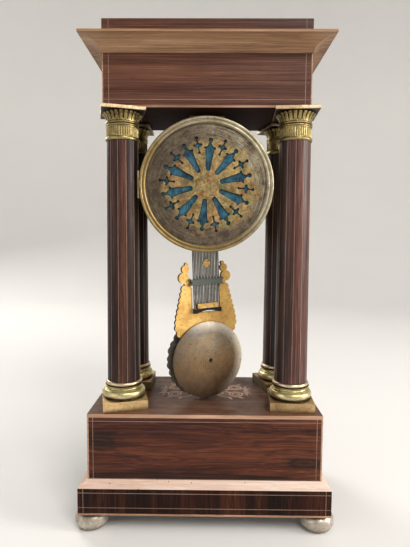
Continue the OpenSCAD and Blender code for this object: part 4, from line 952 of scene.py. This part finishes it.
def waist(points, circles, count=96, least=0.02):
    """Outline along an axis: half widths at points, swelled by circles (distance, offset, radius)."""
    low = min([points[0][0]] + [c - r for c, o, r in circles if not o])
    high = max([points[-1][0]] + [c + r for c, o, r in circles if not o])
    upper = []
    for i in range(count + 1):
        x = low + (high - low) * (0.5 - 0.5 * cos(pi * i / count))
        half = 0
        for (x0, h0), (x1, h1) in zip(points, points[1:]):
            if x0 <= x <= x1:
                half = h0 + (h1 - h0) * (x - x0) / (x1 - x0)
        for c, o, r in circles:
            if abs(x - c) < r:
                half = max(half, o + sqrt(r * r - (x - c) ** 2))
        upper.append((x, max(half, least)))
    return upper + [(x, -h) for x, h in reversed(upper[1:-1])]


# Openings of the cover, drawn for a cover of the given radius
COVER_DRAWN_R = 61.5
LANCET = waist([(13.8, 0.9), (14.2, 1.6), (15, 2.15), (16.5, 2.4), (24, 3), (29, 3.75), (33, 4.4),
                (35.6, 3.9), (37.6, 2.5), (40.5, 1.1), (43, 0.9)], [(35.6, 4.6, 1.3), (43.3, 0, 2.1)])
CROSS = waist([(31.8, 0.55), (36.4, 0.6), (39.2, 3), (42, 0.6), (46, 0.55)],
              [(39.2, 3.3, 1.2), (31.9, 0, 1.2), (46, 0, 1.5)])


def cover_plate(openings=10, first=95.5, bevel=0.22, rim_steps=180):
    lo, hi = box_mm("rear_fret")
    radius, thick = (hi[0] - lo[0]) / 2, hi[1] - lo[1]
    unit = radius / COVER_DRAWN_R
    loops = [[(radius * c, radius * s) for c, s in circle(rim_steps)]]
    for k in range(openings):
        for outline, share in ((LANCET, 0), (CROSS, 0.5)):
            a = radians(first + (k + share) * 360 / openings)
            ca, sa = unit * cos(a), unit * sin(a)
            loops.append([(u * ca - v * sa, u * sa + v * ca) for u, v in outline])
    data = bpy.data.curves.new("cover_outline", "CURVE")
    data.dimensions, data.fill_mode = "2D", "BOTH"
    data.extrude, data.offset = thick / 2 - bevel, -bevel
    data.bevel_depth, data.bevel_resolution = bevel, 1
    for loop in loops:
        line = data.splines.new("POLY")
        line.points.add(len(loop) - 1)
        for point, (u, v) in zip(line.points, loop):
            point.co = (u, v, 0, 1)
        line.use_cyclic_u = True
    draft = bpy.data.objects.new("cover_outline", data)
    flat = draft.to_mesh()
    y = (lo[1] + hi[1]) / 2
    verts = [(DRUM_X + v.co.x, y + v.co.z, DRUM_Z + v.co.y) for v in flat.vertices]
    faces = [tuple(f.vertices) for f in flat.polygons]
    draft.to_mesh_clear()
    bpy.data.objects.remove(draft)
    bpy.data.curves.remove(data)
    plate = Build(verts, faces).make("cover_plate", "cover_brass", "rear_door", sharp=20)
    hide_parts("rear_fret")


cover_plate()


# Scrolls of light wood let into the plinth top under the pendulum

def scroll(cx, cy, r0, r1, start, turns, count=48):
    """Spiral path from radius r0 to r1."""
    points = []
    for i in range(count + 1):
        s = i / count
        a = radians(start) + tau * turns * s
        r = r0 + (r1 - r0) * s
        points.append((cx + r * cos(a), cy + r * sin(a)))
    return points


def curve(points, count=24):
    """Smooth path through a few points."""
    out = []
    n = len(points)
    for i in range(n - 1):
        near = points[max(i - 1, 0)], points[i], points[i + 1], points[min(i + 2, n - 1)]
        for k in range(count if i == n - 2 else count - 1):
            t = k / (count - 1)
            out.append(tuple(0.5 * (2 * b + (c - a) * t + (2 * a - 5 * b + 4 * c - d) * t * t
                                    + (3 * b - a - 3 * c + d) * t ** 3) for a, b, c, d in zip(*near)))
    return out


def leaf(x, y, length, width, angle, count=14):
    """Pointed leaf outline."""
    ca, sa = cos(radians(angle)), sin(radians(angle))
    shares = [i / count for i in range(count + 1)]
    side = [(length * s, width / 2 * sin(pi * s ** 0.8)) for s in shares]
    outline = side + [(u, -v) for u, v in reversed(side[1:-1])]
    return [(x + u * ca - v * sa, y + u * sa + v * ca) for u, v in outline]


# One quarter of the ornament: paths with their widths at both ends, and leaves
STEMS = (
    (curve([(3, 2), (11, 9), (17, 17), (24, 20), (31, 18.5)]), 2.1, 0.9),
    (scroll(33, 10.5, 8.6, 2.6, 105, -1.9, 72), 2, 1.1),
    (scroll(16, 8.5, 4.6, 1, -120, 1.3), 1.6, 0.9),
    (curve([(40, 6), (45, 8.5), (49, 6.5), (51, 9.5)]), 2.1, 0.9),
)
SIDE_LEAVES = ((10, 10, 8, 3.2, 112), (25, 19, 9, 3.4, 62), (43, 3, 8, 3, 28), (45, 9, 6.5, 2.4, 74),
               (22, 2.5, 8, 2.8, 24), (36, 19.5, 7, 2.6, 30))
AXIS_LEAVES = ((5, 0, 15, 4.2, 0), (42, 0, 9, 3.2, 0))


def marquetry(centre_y=-9.5, proud=0.05, step=0.002):
    """The quarter turned over on both axes; each layer lies a hair over the last."""
    top = box_mm("plinth_top")[1][2]
    b = Build()
    for sx in (-1, 1):
        def at(u, v, w):
            return (sx * u, v + centre_y, top + w)

        for sy in (-1, 1):
            for path, first, last in STEMS:
                path = [(u, sy * v) for u, v in path]
                b.ribbon(path, lambda s: first + (last - first) * s, INLAY_DEPTH, proud, at)
            for sizes in SIDE_LEAVES:
                b.slab([(u, sy * v) for u, v in leaf(*sizes)], INLAY_DEPTH, proud + step, at)
        for sizes in AXIS_LEAVES:
            b.slab(leaf(*sizes), INLAY_DEPTH, proud + 2 * step, at)
    b.inlay("top_marquetry", "marquetry")


marquetry()


# Dial ring: numerals, minute track and winding-hole collars

NUMERALS = ("XII", "I", "II", "III", "IIII", "V", "VI", "VII", "VIII", "IX", "X", "XI")
DIAL_FACE = box_mm("dial")[0][1]
NUMERAL_H, SERIF_H = 11, 0.45
THICK, HAIR = 1.15, 0.4
# Width of a letter, its bars (foot, head, thickness) and its serifs (place, at the head or not, half width)
LETTERS = {
    "I": (2.1, [(0, 0, THICK)], [(0, False, 1), (0, True, 1)]),
    "V": (5.2, [(0, -1.8, THICK), (0, 1.8, HAIR)], [(-1.8, True, 1), (1.8, True, 0.8)]),
    "X": (5.6, [(1.9, -1.9, THICK), (-1.9, 1.9, HAIR)],
          [(x, head, 0.8) for x in (-1.9, 1.9) for head in (False, True)]),
}


def on_dial(u, v, w):
    return (DRUM_X + u, DIAL_FACE - w, DRUM_Z + v)


def dial_spot(share, radial):
    """Map with v outward along a ray of the dial, at a share of a turn from the top."""
    ca, sa = cos(tau * share), sin(tau * share)

    def at(u, v, w):
        out = radial + v
        return on_dial(u * ca + out * sa, -u * sa + out * ca, w)
    return at


def letter(b, kind, x, at, ink):
    width, bars, serifs = LETTERS[kind]
    m = x + width / 2
    for foot, head, thick in bars:
        half = thick / 2
        outline = [(m + foot - half, 0), (m + foot + half, 0),
                   (m + head + half, NUMERAL_H), (m + head - half, NUMERAL_H)]
        b.slab(outline, 0.012, ink + 0.012, at)
    for place, head, half in serifs:
        v = NUMERAL_H - SERIF_H if head else 0
        b.slab(rectangle(m + place - half, m + place + half, v, v + SERIF_H), 0.015, ink + 0.016, at)
    return x + width


def dial_print(ink=0.1, line=0.35, track=(2.6, 5.2), tick=1.1, numeral_in=6.6):
    """Minute track between two circles, and twelve numerals inside it."""
    lo, hi = box_mm("dial")
    radius = (hi[0] - lo[0]) / 2
    b = Build()
    for inset in track:
        r = radius - inset
        b.ribbon([(r * c, r * s) for c, s in circle(120)], line, 0.01, ink, on_dial, close=True)
    for k in range(60):
        half = 0.4 if k % 5 == 0 else 0.15
        at = dial_spot(k / 60, radius - sum(track) / 2)
        b.slab(rectangle(-half, half, -tick, tick), 0.01, ink + 0.01, at)
    for k, text in enumerate(NUMERALS):
        at = dial_spot(k / 12, radius - numeral_in - NUMERAL_H)
        x = -sum(LETTERS[c][0] for c in text) / 2
        for c in text:
            x = letter(b, c, x, at, ink)
    b.make("dial_print", "dial_ink", "case", smooth=False)


def winding_collars(holes=((25.5, -14), (-25.5, -14)), count=48):
    profile = ((3.55, -0.6), (3.55, 0.25), (3.75, 0.5), (4.3, 0.5), (4.6, 0.25), (4.65, 0.01))
    b = Build()
    for x, z in holes:
        rows = [[on_dial(x + r * c, z + r * s, w) for c, s in circle(count)] for r, w in profile]
        b.grid(rows, close_u=True, close_v=True)
    b.make("winding_collars", "case_brass", "case", sharp=40)


dial_print()
winding_collars()


# Cast leaf ring on the bezel

def bezel_ring(lobes=72, section=20, mid=58.2, half=3.6, high=1.3, sunk=0.9):
    face = box_mm("bezel")[0][1]
    count = 8 * lobes
    rows = []
    for k, (c, s) in enumerate(circle(count)):
        f = abs((k / count * lobes) % 1 - 0.5) * 2
        row = []
        for u, w in circle(section):
            lobe = 1 - 0.35 * smooth(f, 0.55, 1) * max(0, w)
            r = mid + half * u
            row.append((DRUM_X + r * c, face + sunk - high * w * lobe, DRUM_Z + r * s))
        rows.append(row)
    b = Build()
    b.grid(rows, close_u=True, close_v=True)
    b.make("bezel_leaves", "gilt_relief", "bezel_door", sharp=60)


bezel_ring()


# Relief on the front of the pendulum

def wreath_leaf(r, turn, lean, size, face=-13.7, wide=1.9, lift=1.5, rib=0.25, sunk=0.15):
    """Rows of points over one domed leaf at a radius of the bob, leaning off the ring."""
    axis = turn + radians(90 + lean)
    ca, sa = cos(axis), sin(axis)
    rows = []
    for i in range(9):
        s = i / 8
        half = wide * sin(pi * min(1, s * 0.92 + 0.06)) ** 0.8
        row = []
        for j in range(-3, 4):
            q = j / 3
            u = r * cos(turn) + (s - 0.5) * size * ca - q * half * sa
            v = r * sin(turn) + (s - 0.5) * size * sa + q * half * ca
            w = lift * (1 - q * q) * sin(pi * min(1, s + 0.1)) + (0 if j else rib)
            row.append(tuple(BOB @ Vector((u, face - w + sunk, v))))
        rows.append(row)
    return rows


def wreath_leaves(count=32, rings=((31.3, 28, 9), (37.6, -30, 8.6))):
    """Two rings of leaves on the wreath, each (radius, lean, length)."""
    b = Build()
    for k in range(count):
        for r, lean, size in rings:
            b.tube(wreath_leaf(r, tau * k / count, lean, size))
    b.make("wreath_leaves", "gilt_relief", "pendulum", sharp=80)


def bob_rosette(face=-9.7, radius=26, rings=40, count=144, petals=12, deep=-0.2):
    """Twelve petals round a boss, inside a raised line."""
    def ring(r, heights):
        return [tuple(BOB @ Vector((r * c, face - w, r * s))) for (c, s), w in zip(circle(count), heights)]

    rows = []
    for i in range(rings + 1):
        r = 0.05 + radius * i / rings
        boss = 1.2 * bulge(r, 0, 3)
        line = 0.5 * exp(-((r - 21) / 0.7) ** 2)
        heights = []
        for k in range(count):
            f = abs((k / count * petals) % 1 - 0.5) * 2
            petal = (1 - f ** 2) * smooth(r, 2.5, 6) * (1 - smooth(r, 9 + 3 * (1 - f), 14 - 1.5 * f))
            heights.append(0.05 + 1.4 * petal + boss + line)
        rows.append(ring(r, heights))
    rows.append(ring(radius, [deep] * count))
    b = Build()
    b.tube(rows)
    b.make("bob_rosette", "gilt_relief", "pendulum", sharp=80)


wreath_leaves()
bob_rosette()


# Dark pins along the top of the gridiron's crossbar

def crossbar_pins(bar_top=86.2, bar_back=2.1, pitch=3.45, pins=8, count=14):
    profile = ((0.75, -0.6), (0.75, 1.1), (0.62, 1.5), (0.35, 1.8), (0.02, 1.9))
    b = Build()
    for k in range(pins):
        x = (k - (pins - 1) / 2) * pitch
        b.tube([[tuple(BOB @ Vector((x + r * c, bar_back + r * s, bar_top + z))) for c, s in circle(count)]
                for r, z in profile])
    b.make("crossbar_pins", "gridiron_rods", "pendulum", sharp=50)


crossbar_pins()


# Stage, light and camera, in metres

def stage(flat=1.6, bend=1.2, high=2.6, steps=12):
    """Pale floor that curves up into a round wall on every side."""
    profile = [(0.02, 0), (0.6, 0), (flat, 0)]
    for t in range(1, steps + 1):
        a = t * pi / 2 / steps
        profile.append((flat + bend * sin(a), bend - bend * cos(a)))
    profile.append((flat + bend, high))
    rows = [[(r * c, r * s, z) for c, s in circle(96)] for r, z in profile]
    b = Build()
    b.grid(rows, close_u=True)
    b.cap(rows[0])
    data = bpy.data.meshes.new("floor")
    data.from_pydata(b.verts, [], b.faces)
    for poly in data.polygons:
        poly.use_smooth = True
    g = Graph("pale_floor", Roughness=0.8)
    g.set("Base Color", g.mix((0.74, 0.72, 0.69), (0.78, 0.76, 0.73), g.noise(3, 3)))
    data.materials.append(g.material)
    floor = new_object("floor", data)


stage()

world = bpy.data.worlds.new("studio")
bpy.context.scene.world = world
world.use_nodes = True
back = world.node_tree.nodes["Background"]
back.inputs["Color"].default_value = (0.95, 0.97, 1, 1)
back.inputs["Strength"].default_value = 0.45

AIM = Vector((0, 0, 0.25))


def lamp(name, place, size, power, colour):
    data = bpy.data.lights.new(name, "AREA")
    data.shape = "RECTANGLE"
    data.size, data.size_y = size
    data.energy = power
    data.color = colour
    obj = new_object(name, data)
    obj.location = place
    obj.rotation_euler = (AIM - Vector(place)).to_track_quat("-Z", "Y").to_euler()


lamp("key", (-0.85, 1.4, 1.65), (0.8, 0.8), 26, (1, 0.97, 0.93))
lamp("side", (-1.75, 0.5, 0.75), (0.6, 0.8), 28, (1, 0.98, 0.95))
lamp("fill", (1.3, 0.9, 0.6), (1, 1), 4, (0.95, 0.97, 1))
lamp("front_key", (1.2, -1.3, 1.2), (0.8, 0.8), 18, (1, 0.98, 0.95))

# Camera fitted to the photograph: focal length and height of the picture in pixels, place and angles
FOCAL_PX, TALL_PX = 424.39, 547
SENSOR = 36
EYE = (-0.00306, 0.46097, 0.28318)
PITCH, YAW, ROLL = radians(4.03), radians(-0.52), radians(0.35)

camera = bpy.data.cameras.new("camera")
camera.sensor_fit = "VERTICAL"
camera.sensor_height = SENSOR
camera.lens = FOCAL_PX / TALL_PX * SENSOR
camera.clip_start = 0.01
eye = new_object("camera", camera)
turn = Matrix.Rotation(pi - YAW, 4, "Z") @ Matrix.Rotation(pi / 2 - PITCH, 4, "X")
turn = turn @ Matrix.Rotation(ROLL, 4, "Z")
eye.matrix_world = Matrix.Translation(EYE) @ turn
bpy.context.scene.camera = eye
bpy.context.scene.view_settings.view_transform = "Standard"
